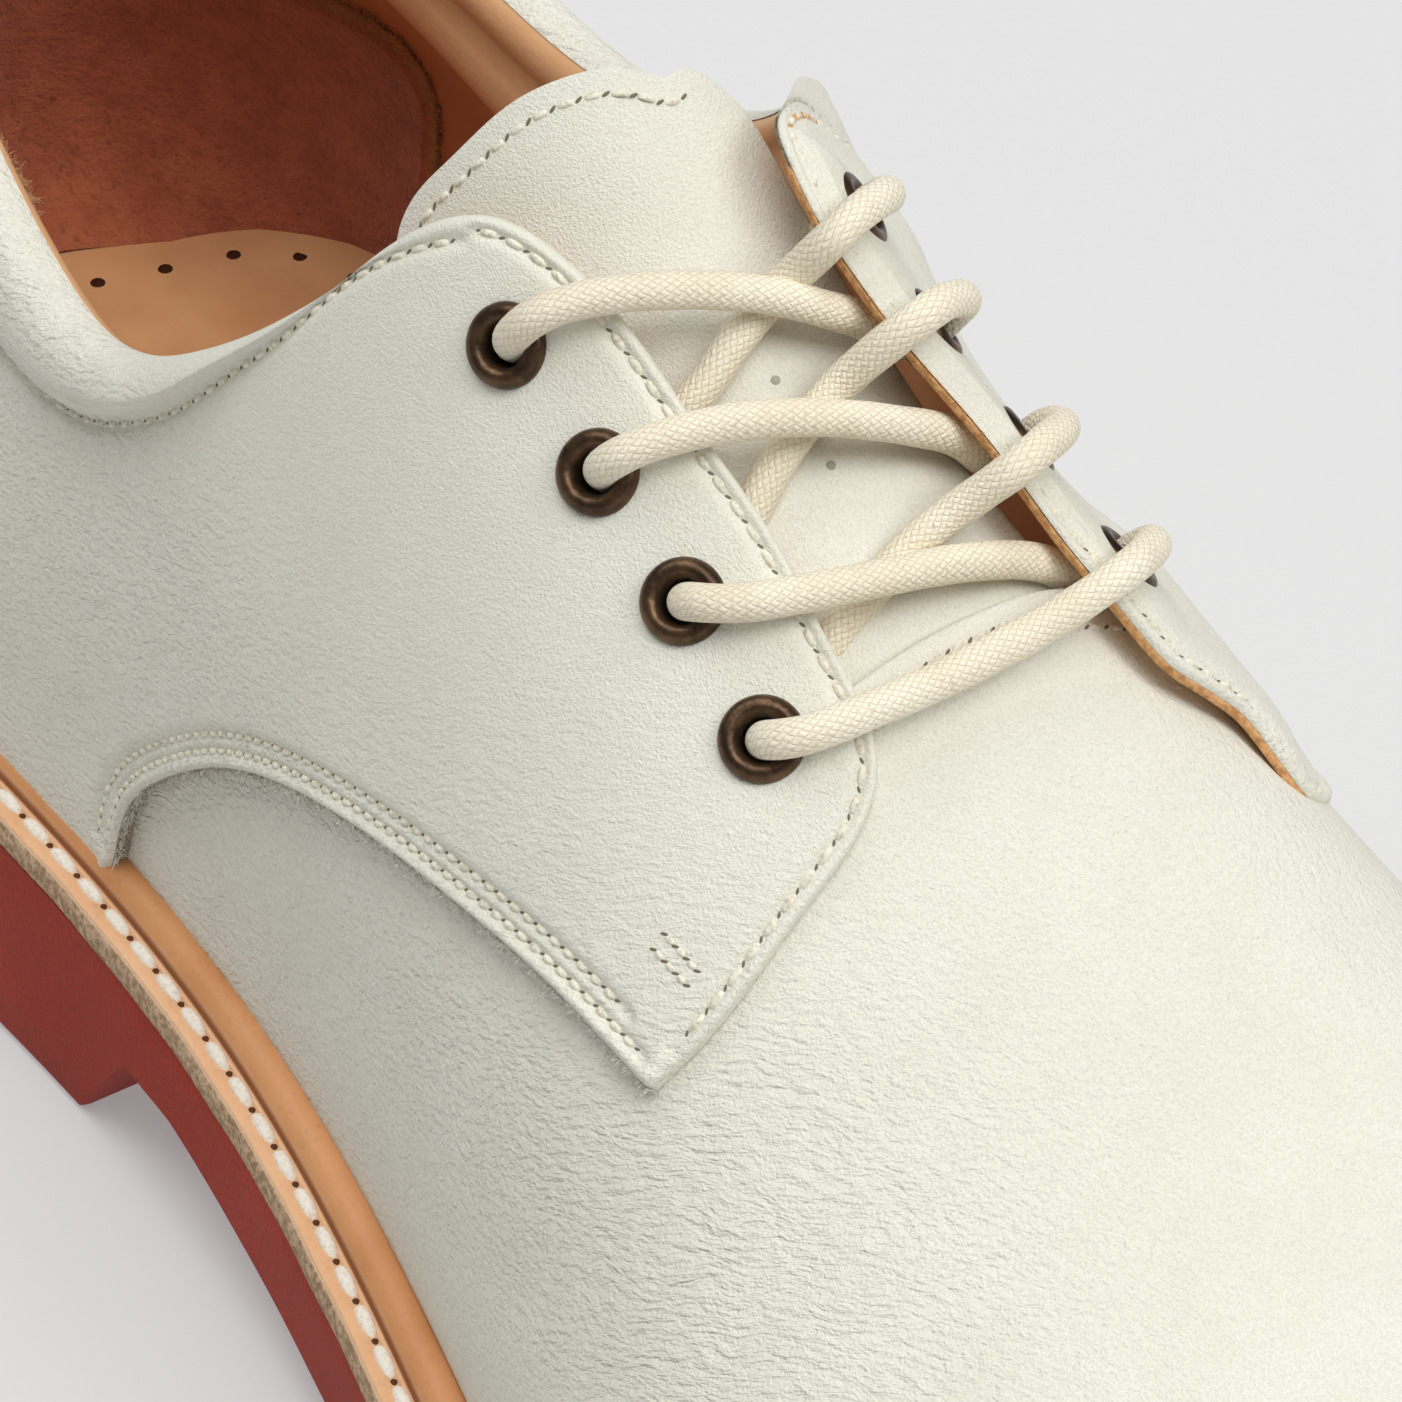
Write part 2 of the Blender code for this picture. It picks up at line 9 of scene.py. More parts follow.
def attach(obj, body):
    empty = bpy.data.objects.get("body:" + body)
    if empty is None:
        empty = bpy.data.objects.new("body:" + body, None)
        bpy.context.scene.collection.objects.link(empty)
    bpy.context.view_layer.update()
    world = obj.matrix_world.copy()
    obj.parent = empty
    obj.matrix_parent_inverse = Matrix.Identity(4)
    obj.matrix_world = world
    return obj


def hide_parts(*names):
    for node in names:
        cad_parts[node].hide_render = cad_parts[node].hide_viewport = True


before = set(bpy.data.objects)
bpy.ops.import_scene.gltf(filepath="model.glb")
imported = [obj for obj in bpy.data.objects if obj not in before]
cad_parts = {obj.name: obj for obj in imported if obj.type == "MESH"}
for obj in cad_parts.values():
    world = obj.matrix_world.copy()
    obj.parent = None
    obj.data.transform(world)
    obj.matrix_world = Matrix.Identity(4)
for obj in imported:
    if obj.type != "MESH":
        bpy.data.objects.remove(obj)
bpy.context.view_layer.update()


# Vamp. The front of the upper, cut in one piece from 1.4 mm off-white nubuck and pulled over the last.
# It runs under both quarters, ends in a straight edge at the throat, and its lower edge goes into the welt.
# Lengths are millimetres from the heel back to the toe; the wearer's outer side is minus Y.
MM = 0.001

# The feather line, where upper and welt meet, seen from above
FEATHER_POINTS = {
    "heel_back": (6.5, 0.5),
    "heel_outer": (28.0, -27.0),
    "seat_outer": (58.0, -31.3),
    "waist_outer": (101.0, -30.5),
    "flare_outer": (145.0, -37.4),
    "ball_outer": (185.0, -46.0),
    "small_toe": (225.0, -45.5),
    "toe_outer": (263.0, -33.0),
    "toe_tip": (293.5, 4.0),
    "toe_inner": (273.0, 33.0),
    "big_toe": (243.0, 43.0),
    "ball_inner": (207.0, 45.5),
    "waist_inner": (140.0, 31.5),
    "arch_inner": (105.0, 28.5),
    "seat_inner": (58.0, 31.5),
    "heel_inner": (28.0, 28.5),
}
HEEL_X = FEATHER_POINTS["heel_back"][0]
TIP_X = FEATHER_POINTS["toe_tip"][0]
OUTER = -1
INNER = 1

# The last. Columns: x, height of the feather line, ridge above it, ridge sideways, squareness, bulge
LAST = np.array([
    (0.0, 25.5, 69.0, -3.0, 2.00, 4.0),
    (40.0, 25.2, 69.0, -3.0, 2.00, 3.0),
    (60.0, 24.7, 72.0, -3.0, 2.00, 2.4),
    (80.0, 23.6, 82.0, -2.6, 2.00, 2.0),
    (105.0, 21.5, 98.0, -1.6, 2.00, 1.5),
    (125.0, 19.3, 87.0, -0.6, 2.00, 1.5),
    (150.0, 16.4, 70.0, 1.6, 2.05, 1.8),
    (175.0, 14.2, 53.5, 4.6, 2.10, 2.4),
    (200.0, 13.0, 41.5, 7.0, 2.20, 3.0),
    (230.0, 13.0, 32.0, 7.0, 2.35, 3.0),
    (260.0, 14.6, 26.5, 5.0, 2.50, 2.6),
    (300.0, 18.5, 23.0, 4.0, 2.60, 2.2),
])
# Columns: foot x, x where its line meets the ridge
RIDGE_MEET = np.array([
    (6.5, 22.0), (40.0, 58.0), (75.0, 93.0), (105.0, 118.5), (160.0, 159.5), (230.0, 210.0), (293.5, 256.0),
])


def spline(knots, values):
    """Cubic through rows of values at the knots, with no bend at the two ends."""
    knots = np.asarray(knots, float)
    values = np.asarray(values, float).reshape(len(knots), -1)
    step = np.diff(knots)
    count = len(knots)
    inner = np.arange(1, count - 1)
    matrix = np.eye(count)
    matrix[inner, inner - 1] = step[:-1]
    matrix[inner, inner] = 2 * (step[:-1] + step[1:])
    matrix[inner, inner + 1] = step[1:]
    right = np.zeros_like(values)
    right[1:-1] = 6 * np.diff(np.diff(values, axis=0) / step[:, None], axis=0)
    bend = np.linalg.solve(matrix, right)

    def at(x):
        x = np.clip(np.asarray(x, float), knots[0], knots[-1])
        k = np.clip(np.searchsorted(knots, x) - 1, 0, count - 2)
        b = ((x - knots[k]) / step[k])[..., None]
        a = 1 - b
        bow = (a**3 - a) * bend[k] + (b**3 - b) * bend[k + 1]
        return a * values[k] + b * values[k + 1] + bow * step[k][..., None]**2 / 6
    return at


corners = np.array(list(FEATHER_POINTS.values()))
chords = np.linalg.norm(np.roll(corners, -1, 0) - corners, axis=1)
LOOP_LENGTH = chords.sum()
corner_at = np.concatenate([[0.0], np.cumsum(chords)[:-1]])
laps = [corner_at - LOOP_LENGTH, corner_at, corner_at + LOOP_LENGTH, [2 * LOOP_LENGTH]]
loop_knots = np.concatenate(laps)
feather_loop = spline(loop_knots, np.concatenate([corners, corners, corners, corners[:1]]))
TIP_U = corner_at[list(FEATHER_POINTS).index("toe_tip")] / LOOP_LENGTH
last_at = spline(LAST[:, 0], LAST[:, 1:])
meet_at = spline(RIDGE_MEET[:, 0], RIDGE_MEET[:, 1])


def feather(u):
    """Feather line as a closed cubic loop: u goes 0 to 1 from the heel back, outer side first."""
    return feather_loop(np.asarray(u, float) % 1 * LOOP_LENGTH)


SCAN = np.linspace(0.0, 1.0, 8001)
SCAN_X = feather(SCAN)[:, 0]


def foot_u(side, foot_x):
    """Loop parameter of the foot at x on one side."""
    half = SCAN <= TIP_U if side == OUTER else SCAN >= TIP_U
    order = np.argsort(SCAN_X[half], kind="stable")
    return np.interp(foot_x, SCAN_X[half][order], SCAN[half][order])


def wall(u, rise):
    """The last's surface: rise 0 is the feather line and 1 the ridge over the instep.

    With angle = rise * 90 degrees and n the squareness, a line goes in by 1 - cos(angle)^(2/n) of its way
    to the ridge and up by sin(angle)^(2/n) of the ridge height; the bulge pushes it out low down.
    """
    u, rise = np.broadcast_arrays(np.asarray(u, float), np.asarray(rise, float))
    foot = feather(u)
    shape = last_at(foot[..., 0])
    power = 2 / shape[..., 3]
    angle = np.clip(rise, 0.0, 1.0) * math.pi / 2
    inward = 1 - np.clip(np.cos(angle), 0.0, 1.0)**power
    up = np.sin(angle)**power
    meet = meet_at(foot[..., 0])[..., 0]
    way = np.stack([meet - foot[..., 0], last_at(meet)[..., 2] - foot[..., 1]], axis=-1)
    push = shape[..., 4] * 6.75 * up * (1 - up)**2
    flat = foot + way * (inward - push / np.linalg.norm(way, axis=-1))[..., None]
    there = last_at(flat[..., 0])
    return np.concatenate([flat, (there[..., 0] + there[..., 1] * up)[..., None]], axis=-1)


def unit(vectors):
    """Vectors at length 1."""
    return vectors / np.linalg.norm(vectors, axis=-1, keepdims=True)


def wall_out(u, rise):
    """Unit vector out of the last's surface."""
    u, rise = np.broadcast_arrays(np.asarray(u, float), np.asarray(rise, float))
    rise = np.clip(rise, 0.004, 0.985)
    along = wall(u + 0.0005, rise) - wall(u - 0.0005, rise)
    up = wall(u, rise + 0.003) - wall(u, rise - 0.003)
    return unit(np.cross(along, up))


def skin(u, rise, lift):
    """Point at a height of lift over the last's surface."""
    return wall(u, rise) + wall_out(u, rise) * np.asarray(lift, float)[..., None]


def feather_out(u):
    """Level unit vector out of the feather line."""
    along = unit(feather(u + 1e-4) - feather(u - 1e-4))
    return np.stack([along[..., 1], -along[..., 0]], axis=-1)


# The frame's origin is under the middle of the welt, whose edge stands WELT_EDGE out of the feather line
WELT_EDGE = 6.2
welt_loop = feather(SCAN) + feather_out(SCAN) * WELT_EDGE
CENTRE = np.append((welt_loop.min(axis=0) + welt_loop.max(axis=0)) / 2, 0.0)


def grid_faces(rows, columns, ring=False):
    """Quads of a grid numbered row by row; a ring closes its last column onto the first."""
    number = np.arange(rows * columns).reshape(rows, columns)
    if ring:
        number = np.column_stack([number, number[:, :1]])
    quads = np.stack([number[:-1, :-1], number[:-1, 1:], number[1:, 1:], number[1:, :-1]], axis=-1)
    return quads.reshape(-1, 4)


def grid(points, ring=False, flip=False):
    """(points, faces) of an array of rows and columns of points."""
    faces = grid_faces(*points.shape[:2], ring)
    if flip:
        faces = faces[:, ::-1]
    return points.reshape(-1, 3), faces


def make(name, parts, finish, replaced=(), marks=None, uv=None, weld=True):
    """One smooth mesh from (points, faces) parts in millimetres, welded and riding on the shoe.

    marks holds named numbers for each point, and uv a pair for each point.
    """
    count = np.cumsum([0] + [len(points) for points, faces in parts])
    points = np.concatenate([points for points, faces in parts])
    faces = np.concatenate([faces + first for (_, faces), first in zip(parts, count)])
    mesh = bpy.data.meshes.new(name)
    mesh.from_pydata(((points - CENTRE) * MM).tolist(), [], faces.tolist())
    for mark, values in (marks or {}).items():
        layer = mesh.attributes.new(mark, "FLOAT", "POINT")
        layer.data.foreach_set("value", np.ascontiguousarray(values, np.float32).ravel())
    if uv is not None:
        layer = mesh.uv_layers.new(name="UVMap")
        layer.data.foreach_set("uv", np.ascontiguousarray(uv[faces.ravel()], np.float32).ravel())
    if weld:
        shape = bmesh.new()
        shape.from_mesh(mesh)
        bmesh.ops.remove_doubles(shape, verts=shape.verts, dist=0.000002)
        shape.to_mesh(mesh)
        shape.free()
    mesh.shade_smooth()
    mesh.materials.append(finish)
    made = bpy.data.objects.new(name, mesh)
    bpy.context.scene.collection.objects.link(made)
    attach(made, "root")
    if replaced:
        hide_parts(*replaced)
    return made


class Dye:
    """One socket of a material. Arithmetic between dyes, or a dye and a number, adds Math nodes."""

    def __init__(self, tree, socket=None):
        self.tree = tree
        self.socket = socket

    def node(self, kind, settings=None, sockets=None, out=0):
        """Any node: its settings are set first, then its sockets take values or links."""
        made = self.tree.nodes.new("ShaderNode" + kind)
        for setting, value in (settings or {}).items():
            setattr(made, setting, value)
        for plug, value in (sockets or {}).items():
            if isinstance(value, Dye):
                self.tree.links.new(value.socket, made.inputs[plug])
            else:
                made.inputs[plug].default_value = value
        return Dye(self.tree, made.outputs[out])

    def math(self, operation, first, second=0.0):
        return self.node("Math", {"operation": operation}, {0: first, 1: second})

    def __add__(self, other):
        return self.math("ADD", self, other)

    __radd__ = __add__

    def __sub__(self, other):
        return self.math("SUBTRACT", self, other)

    def __rsub__(self, other):
        return self.math("SUBTRACT", other, self)

    def __mul__(self, other):
        return self.math("MULTIPLY", self, other)

    __rmul__ = __mul__

    def fade(self, low, high):
        """0 below low, 1 above high, smooth in between."""
        return self.node("MapRange", {"interpolation_type": "SMOOTHSTEP"},
                         {"Value": self, "From Min": low, "From Max": high})

    def object_place(self):
        return self.node("TexCoord", out="Object")

    def mark(self, name):
        """A named number that the mesh carries for each point."""
        return self.node("Attribute", {"attribute_name": name}, out="Fac")

    def noise(self, place, per_metre, detail=2.0, rough=0.5):
        return self.node("TexNoise", None, {"Vector": place, "Scale": per_metre, "Detail": detail,
                                            "Roughness": rough})

    def blend(self, share, first, second):
        """Colour between two colours."""
        return self.node("Mix", {"data_type": "RGBA"}, {0: share, 6: first, 7: second}, out=2)

    def bump(self, height, depth):
        """Normal of a height that is depth metres tall."""
        return self.node("Bump", None, {"Strength": 1.0, "Distance": depth, "Height": height})


def colour(red, green, blue):
    """Colour from its screen values of 0 to 255."""
    share = np.array([red, green, blue]) / 255
    linear = np.where(share <= 0.04045, share / 12.92, ((share + 0.055) / 1.055)**2.4)
    return (*linear.tolist(), 1.0)


def new_finish(name, shader_values):
    """Material with constants set on its shader; returns it, its shader and a dye to start from."""
    material = bpy.data.materials.new(name)
    material.use_nodes = True
    shader = material.node_tree.nodes["Principled BSDF"]
    for plug, value in shader_values.items():
        shader.inputs[plug].default_value = value
    return material, shader, Dye(material.node_tree)


def wire(shader, **sockets):
    """Link dyes to a shader's sockets, whose names are written with underscores."""
    for plug, dye in sockets.items():
        dye.tree.links.new(dye.socket, shader.inputs[plug.replace("_", " ")])


def nubuck_finish():
    """Off-white napped leather: a fine stipple everywhere, longer wrinkles where the mark crease says so."""
    material, shader, dye = new_finish("nubuck", {
        "Specular IOR Level": 0.25, "Sheen Weight": 0.08, "Sheen Roughness": 0.5,
    })
    place = dye.object_place()
    nap = dye.noise(place, 4300.0, 2.0, 0.6)
    fluff = dye.noise(place, 9000.0, 2.0, 0.6)
    brushed = dye.noise(place, 95.0, 4.0, 0.6)
    cloud = dye.noise(place, 22.0, 2.0, 0.5)
    # The wrinkles run slantwise: each is about 2 mm long and 0.55 mm across, bent by a slow wander
    wander = dye.noise(place, 160.0, 2.0, 0.5)
    turned = dye.node("Mapping", {"vector_type": "TEXTURE"}, {
        "Vector": place, "Rotation": (0.0, math.radians(-17), math.radians(31)),
        "Scale": (0.0020, 0.00055, 0.00055)})
    drift = dye.node("CombineXYZ", None, {"X": wander * 2.0, "Y": wander * 3.0, "Z": wander * 3.0})
    bent = dye.node("VectorMath", {"operation": "ADD"}, {0: turned, 1: drift})
    wrinkle = dye.noise(bent, 1.0, 2.0, 0.55)
    pore = dye.node("TexVoronoi", {"feature": "F1"}, {"Vector": place, "Scale": 900.0})
    crease = dye.mark("crease")
    raw = dye.mark("raw")
    pale = dye.blend(brushed.fade(0.25, 0.75), colour(236, 234, 220), colour(241, 239, 226))
    worn = dye.blend(cloud.fade(0.35, 0.8) * 0.4, pale, colour(230, 227, 211))
    napped = dye.blend(nap.fade(0.28, 0.62), dye.blend(0.35, worn, colour(208, 204, 187)), worn)
    # Painted shade: the centres of the small pits are darker.
    pitted = dye.blend(pore.fade(0.0, 0.13) * 0.1 + 0.9, colour(150, 144, 125), napped)
    fibrous = dye.blend(nap.fade(0.3, 0.65), colour(126, 112, 90), colour(206, 198, 178))
    cut = dye.blend(raw, pitted, fibrous)
    stipple = nap * (0.26 + raw * 0.6) + fluff * 0.12
    height = wrinkle * crease * 1.2 + stipple + pore.fade(0.0, 0.2) * 0.05
    wire(shader, Base_Color=cut, Roughness=nap * 0.12 + 0.8, Normal=dye.bump(height, 0.0006))
    return material


nubuck = nubuck_finish()

# Where the leather is wrinkled. Columns: side, foot x, rise, reach in mm, strength
WRINKLED = (
    (OUTER, 60.0, 0.20, 30.0, 1.3), (OUTER, 88.0, 0.20, 20.0, 1.2), (OUTER, 118.0, 0.10, 24.0, 1.0),
    (OUTER, 150.0, 0.24, 26.0, 0.7), (OUTER, 180.0, 0.42, 22.0, 0.45), (OUTER, 192.0, 0.66, 20.0, 0.3),
    (INNER, 170.0, 0.50, 30.0, 0.5), (INNER, 70.0, 0.25, 34.0, 0.9), (INNER, 120.0, 0.30, 30.0, 0.7),
    (OUTER, 20.0, 0.30, 24.0, 0.4),
)
CREASE_LEAST = 0.03


def crease_marks(points):
    """Strength of the wrinkled grain: soft spots added up over a small value everywhere."""
    total = np.full(points.shape[:-1], CREASE_LEAST)
    for side, foot_x, rise, reach, strength in WRINKLED:
        centre = wall(foot_u(side, foot_x), rise)
        total += strength * np.exp(-((points - centre)**2).sum(axis=-1) / reach**2)
    return np.minimum(total, 1.0)


def run_along(line):
    """Distance along a chain of points, at each of them."""
    return np.concatenate([[0.0], np.cumsum(np.linalg.norm(np.diff(line, axis=0), axis=1))])


def sample(at, knots, rows):
    """Rows of values read off between the knots."""
    return np.stack([np.interp(at, knots, rows[:, k]) for k in range(rows.shape[1])], axis=-1)


def along_line(side, chart, count):
    """Evenly spaced chart points (foot x, rise) on a cubic through the given ones, and where they lie."""
    chart = np.asarray(chart, float)
    chain = wall(foot_u(side, chart[:, 0]), chart[:, 1])
    knots = run_along(chain)
    curve = spline(knots, chart)
    fine = curve(np.linspace(0.0, knots[-1], 4 * count))
    places = wall(foot_u(side, fine[:, 0]), fine[:, 1])
    run = run_along(places)
    chart = sample(np.linspace(0.0, run[-1], count), run, fine)
    return chart, wall(foot_u(side, chart[:, 0]), chart[:, 1])


def nearest(points, line):
    """Distance from each point to a chain of points, and the place on it counted in links."""
    flat = points.reshape(-1, 3)
    start = line[:-1]
    link = np.diff(line, axis=0)
    square = np.maximum((link**2).sum(axis=1), 1e-9)
    gap = np.empty(len(flat))
    place = np.empty(len(flat))
    for first in range(0, len(flat), 3000):
        part = slice(first, first + 3000)
        away = flat[part, None, :] - start
        share = np.clip((away * link).sum(axis=-1) / square, 0.0, 1.0)
        short = ((away - share[..., None] * link)**2).sum(axis=-1)
        best = short.argmin(axis=1)
        pick = np.arange(len(best))
        gap[part] = np.sqrt(short[pick, best])
        place[part] = best + share[pick, best]
    return gap.reshape(points.shape[:-1]), place.reshape(points.shape[:-1])


# Soft folds of the flexing front, as troughs. Columns: side, ends as (foot x, rise), width, depth
FOLDS = (
    (OUTER, ((178.0, 0.30), (182.0, 0.55), (180.0, 0.85)), 4.5, 0.35),
    (OUTER, ((192.0, 0.25), (197.0, 0.52), (194.0, 0.80)), 5.0, 0.30),
    (OUTER, ((150.0, 0.10), (160.0, 0.24), (172.0, 0.34)), 4.0, 0.28),
    (OUTER, ((112.0, 0.05), (126.0, 0.16), (140.0, 0.24)), 4.0, 0.22),
    (INNER, ((176.0, 0.30), (184.0, 0.55), (186.0, 0.85)), 5.0, 0.35),
    (INNER, ((192.0, 0.28), (200.0, 0.55), (200.0, 0.85)), 5.0, 0.30),
)


def fold_depth(points):
    """Sum of the troughs: each is a bell across its line, fading towards its two ends."""
    depth = np.zeros(points.shape[:-1])
    for side, ends, width, deep in FOLDS:
        line = along_line(side, ends, 40)[1]
        gap, place = nearest(points, line)
        depth += deep * np.sin(np.clip(place / 39, 0.02, 0.98) * math.pi) * np.exp(-(gap / width)**2)
    return depth


THROAT_FOOT = 156.0
VAMP_ROWS = 100
WING_ROWS = 52
WING_START = 84.0
# Lower edge of the outer quarter, which also bounds the vamp's wing. Columns: foot x, rise
OUTER_LAP = ((86.5, 0.0), (89.5, 0.045), (95.5, 0.107), (103.5, 0.155), (116.0, 0.223), (129.0, 0.297),
             (141.5, 0.365), (154.0, 0.432), (164.5, 0.48))
INNER_LAP = OUTER_LAP[:-1] + ((165.5, 0.486),)
WING_UNDER = 0.06
VAMP_WALL = 1.5

TUCK_DEPTH = 0.5
TUCK_HEIGHT = 2.5
# The outer waist stands out a little over the welt. Columns: x, distance
WAIST_FLARE = np.array([(6.5, 0.0), (30.0, 0.7), (60.0, 1.5), (100.0, 1.5), (125.0, 0.7), (150.0, 0.0)])
FLARE_HEIGHT = 16.0


def above_feather(points):
    """Height of points over the feather line beside them."""
    return points[..., 2] - last_at(points[..., 0])[..., 0]


def tuck(points):
    """How far the leather is drawn in where it goes down into the welt, less the flare of the outer waist.

    Both are parabolas over the lowest few millimetres.
    """
    height = above_feather(points)
    flare = np.interp(points[..., 0], *WAIST_FLARE.T) * (points[..., 1] < 0)
    return (TUCK_DEPTH * np.clip(1 - height / TUCK_HEIGHT, 0.0, 1.2)**2
            - flare * np.clip(1 - height / FLARE_HEIGHT, 0.0, 1.1)**2)


rises = np.linspace(0.0, 1.0, VAMP_ROWS + 1)
toe_feet = 280.0 + 13.4 * np.linspace(0.05, 0.995, 26)
front_feet = np.concatenate([np.linspace(THROAT_FOOT, 280.0, 140), toe_feet])
front_u = np.concatenate([foot_u(OUTER, front_feet), [TIP_U], foot_u(INNER, front_feet[::-1])])
vamp_u, vamp_rise = np.meshgrid(front_u, rises)
vamp_points = wall(vamp_u, vamp_rise)
vamp_sink = fold_depth(vamp_points) + tuck(vamp_points)
vamp_points = vamp_points - wall_out(vamp_u, vamp_rise) * vamp_sink[..., None]
vamp_parts = [grid(vamp_points)]

for side, lap in ((OUTER, OUTER_LAP), (INNER, INNER_LAP)):
    wing_feet = np.linspace(WING_START, THROAT_FOOT, 80)
    wing_top = np.interp(wing_feet, *np.transpose(lap)) + WING_UNDER
    wing_rise = rises[:WING_ROWS + 1, None] / rises[WING_ROWS] * wing_top / wing_top[-1] * rises[WING_ROWS]
    wing_u = np.broadcast_to(foot_u(side, wing_feet), wing_rise.shape)
    wing = wall(wing_u, wing_rise)
    wing = wing - wall_out(wing_u, wing_rise) * (fold_depth(wing) + tuck(wing))[..., None]
    vamp_parts.append(grid(wing, flip=side == INNER))
    # The cut edge at the throat, rounded over and turned down
    edge_rise = rises[WING_ROWS - 8:]
    edge_u = foot_u(side, THROAT_FOOT + np.array([0.0, -0.25, -0.35, -0.35]))
    edge_lift = np.array([0.0, -0.12, -0.45, -VAMP_WALL])
    rim_u, rim_rise, rim_lift = np.broadcast_arrays(edge_u[::-1], edge_rise[:, None], edge_lift[::-1])
    rim = skin(rim_u, rim_rise, rim_lift)
    vamp_parts.append(grid(rim, flip=side == INNER))
vamp_all = np.concatenate([points for points, faces in vamp_parts])
make("vamp", vamp_parts, nubuck, ["upper"], {"crease": crease_marks(vamp_all)})


# Quarters. The two sides of the upper, also nubuck, laid over the vamp and closed at the back seam.
# Their collar is padded and rolled over, their facing is cut and stitched, and their lower edge is raw.
QUARTER_TOP = 1.8
QUARTER_UNDER = 0.1
OUTER_TOP = (
    (6.5, 0.66), (20.0, 0.645), (36.0, 0.59), (51.0, 0.525), (60.0, 0.48), (70.5, 0.43), (80.0, 0.395),
    (86.5, 0.39), (93.0, 0.405), (100.5, 0.45), (105.0, 0.51), (108.5, 0.595), (112.5, 0.68),
    (118.5, 0.74), (124.5, 0.772), (134.0, 0.797), (143.0, 0.818), (152.0, 0.823), (158.5, 0.824),
    (161.6, 0.812), (164.3, 0.77), (165.5, 0.685), (166.0, 0.603), (165.6, 0.537), (164.5, 0.48),
)
INNER_TOP = (
    (6.5, 0.66), (20.0, 0.635), (33.0, 0.562), (46.0, 0.478), (58.5, 0.433), (66.0, 0.418),
    (80.0, 0.408), (94.0, 0.431), (101.0, 0.483), (106.0, 0.53), (110.0, 0.56), (112.5, 0.585),
    (114.0, 0.63), (114.6, 0.70), (114.9, 0.775), (115.1, 0.835), (115.4, 0.885), (116.0, 0.922),
    (118.6, 0.951), (123.5, 0.962), (128.0, 0.956), (135.6, 0.938), (143.6, 0.907), (149.5, 0.894),
    (154.5, 0.884), (158.1, 0.870), (161.7, 0.854), (164.4, 0.832), (165.6, 0.797), (166.4, 0.763),
    (167.2, 0.727), (168.6, 0.706), (170.4, 0.678), (171.3, 0.643), (170.4, 0.60), (168.2, 0.54),
    (165.5, 0.486),
)
# Stitch line that closes the collar's padding, from the back to the facing. Columns: foot x, rise
COLLAR_BACK = (
    (6.5, 0.555), (20.0, 0.54), (36.0, 0.485), (51.0, 0.42), (60.0, 0.378), (66.5, 0.358), (78.0, 0.335),
    (85.5, 0.343), (92.0, 0.367),
)
COLLAR_STITCH = {
    OUTER: COLLAR_BACK + ((97.5, 0.408), (101.8, 0.452), (104.6, 0.50), (108.3, 0.575), (112.4, 0.656)),
    INNER: COLLAR_BACK + ((97.5, 0.402), (101.8, 0.437), (106.0, 0.472), (110.0, 0.503), (112.5, 0.527)),
}
# The collar's stitches lie this much below the line, in rise, beside the foot of the roll
COLLAR_ROW_DOWN = 0.008
# The collar's roll along its top. Columns: foot x, radius, swelling above the stitch line
COLLAR_ROLL = np.array([
    (6.5, 2.9, 2.6), (60.0, 3.3, 3.2), (86.0, 3.1, 3.2), (94.0, 2.5, 2.5), (100.0, 1.7, 1.4),
    (105.0, 1.1, 0.5), (110.0, 0.8, 0.1), (113.0, 0.75, 0.0), (180.0, 0.75, 0.0),
])
ROLL_END = 104.0
FACING_ROW_IN = 1.1
LAP_ROWS_IN = (1.35, 2.8)
LAP_PUFF = 0.3
ROW_DEPTH = 0.5
ROW_WIDTH = 0.55
# The inner facing stands up off the tongue, over a hollow. Columns: foot x, share of stand, share of hollow
FLAP_SHARE = np.array([
    (100.0, 0.0, 0.0), (104.0, -0.2, 0.1), (110.0, -0.6, 0.3), (112.5, -0.7, 0.45),
    (114.6, -0.65, 0.55), (114.9, -0.4, 0.6), (115.1, -0.05, 0.65), (115.4, 0.25, 0.7),
    (116.0, 0.5, 0.8), (118.6, 0.88, 0.9), (121.0, 1.0, 1.0), (140.0, 1.0, 1.0), (150.0, 1.0, 0.75),
    (156.0, 1.0, 0.35), (160.0, 0.95, 0.0), (164.4, 0.76, 0.0), (166.4, 0.5, 0.0), (167.2, 0.3, 0.0),
    (168.6, 0.15, 0.0), (170.4, -0.1, 0.0), (171.3, -0.35, 0.0), (180.0, -0.45, 0.0),
])
FLAP_STAND = 2.5
FLAP_REACH = 10.5
FLAP_SKIVE = 0.8
HOLLOW_DEPTH = 3.0
HOLLOW_AT = 22.0
HOLLOW_WIDTH = 17.0
HOLLOW_FADE = 16.0
QUARTER_COLUMNS = 380
QUARTER_ROWS = 130
# Eyelet centres. Columns: foot x, rise
EYELETS = {
    OUTER: ((120.0, 0.647), (131.5, 0.680), (143.0, 0.705), (154.5, 0.720)),
    INNER: ((124.0, 0.838), (133.5, 0.817), (143.5, 0.782), (154.0, 0.762)),
}
EYELET_CUT = 2.35


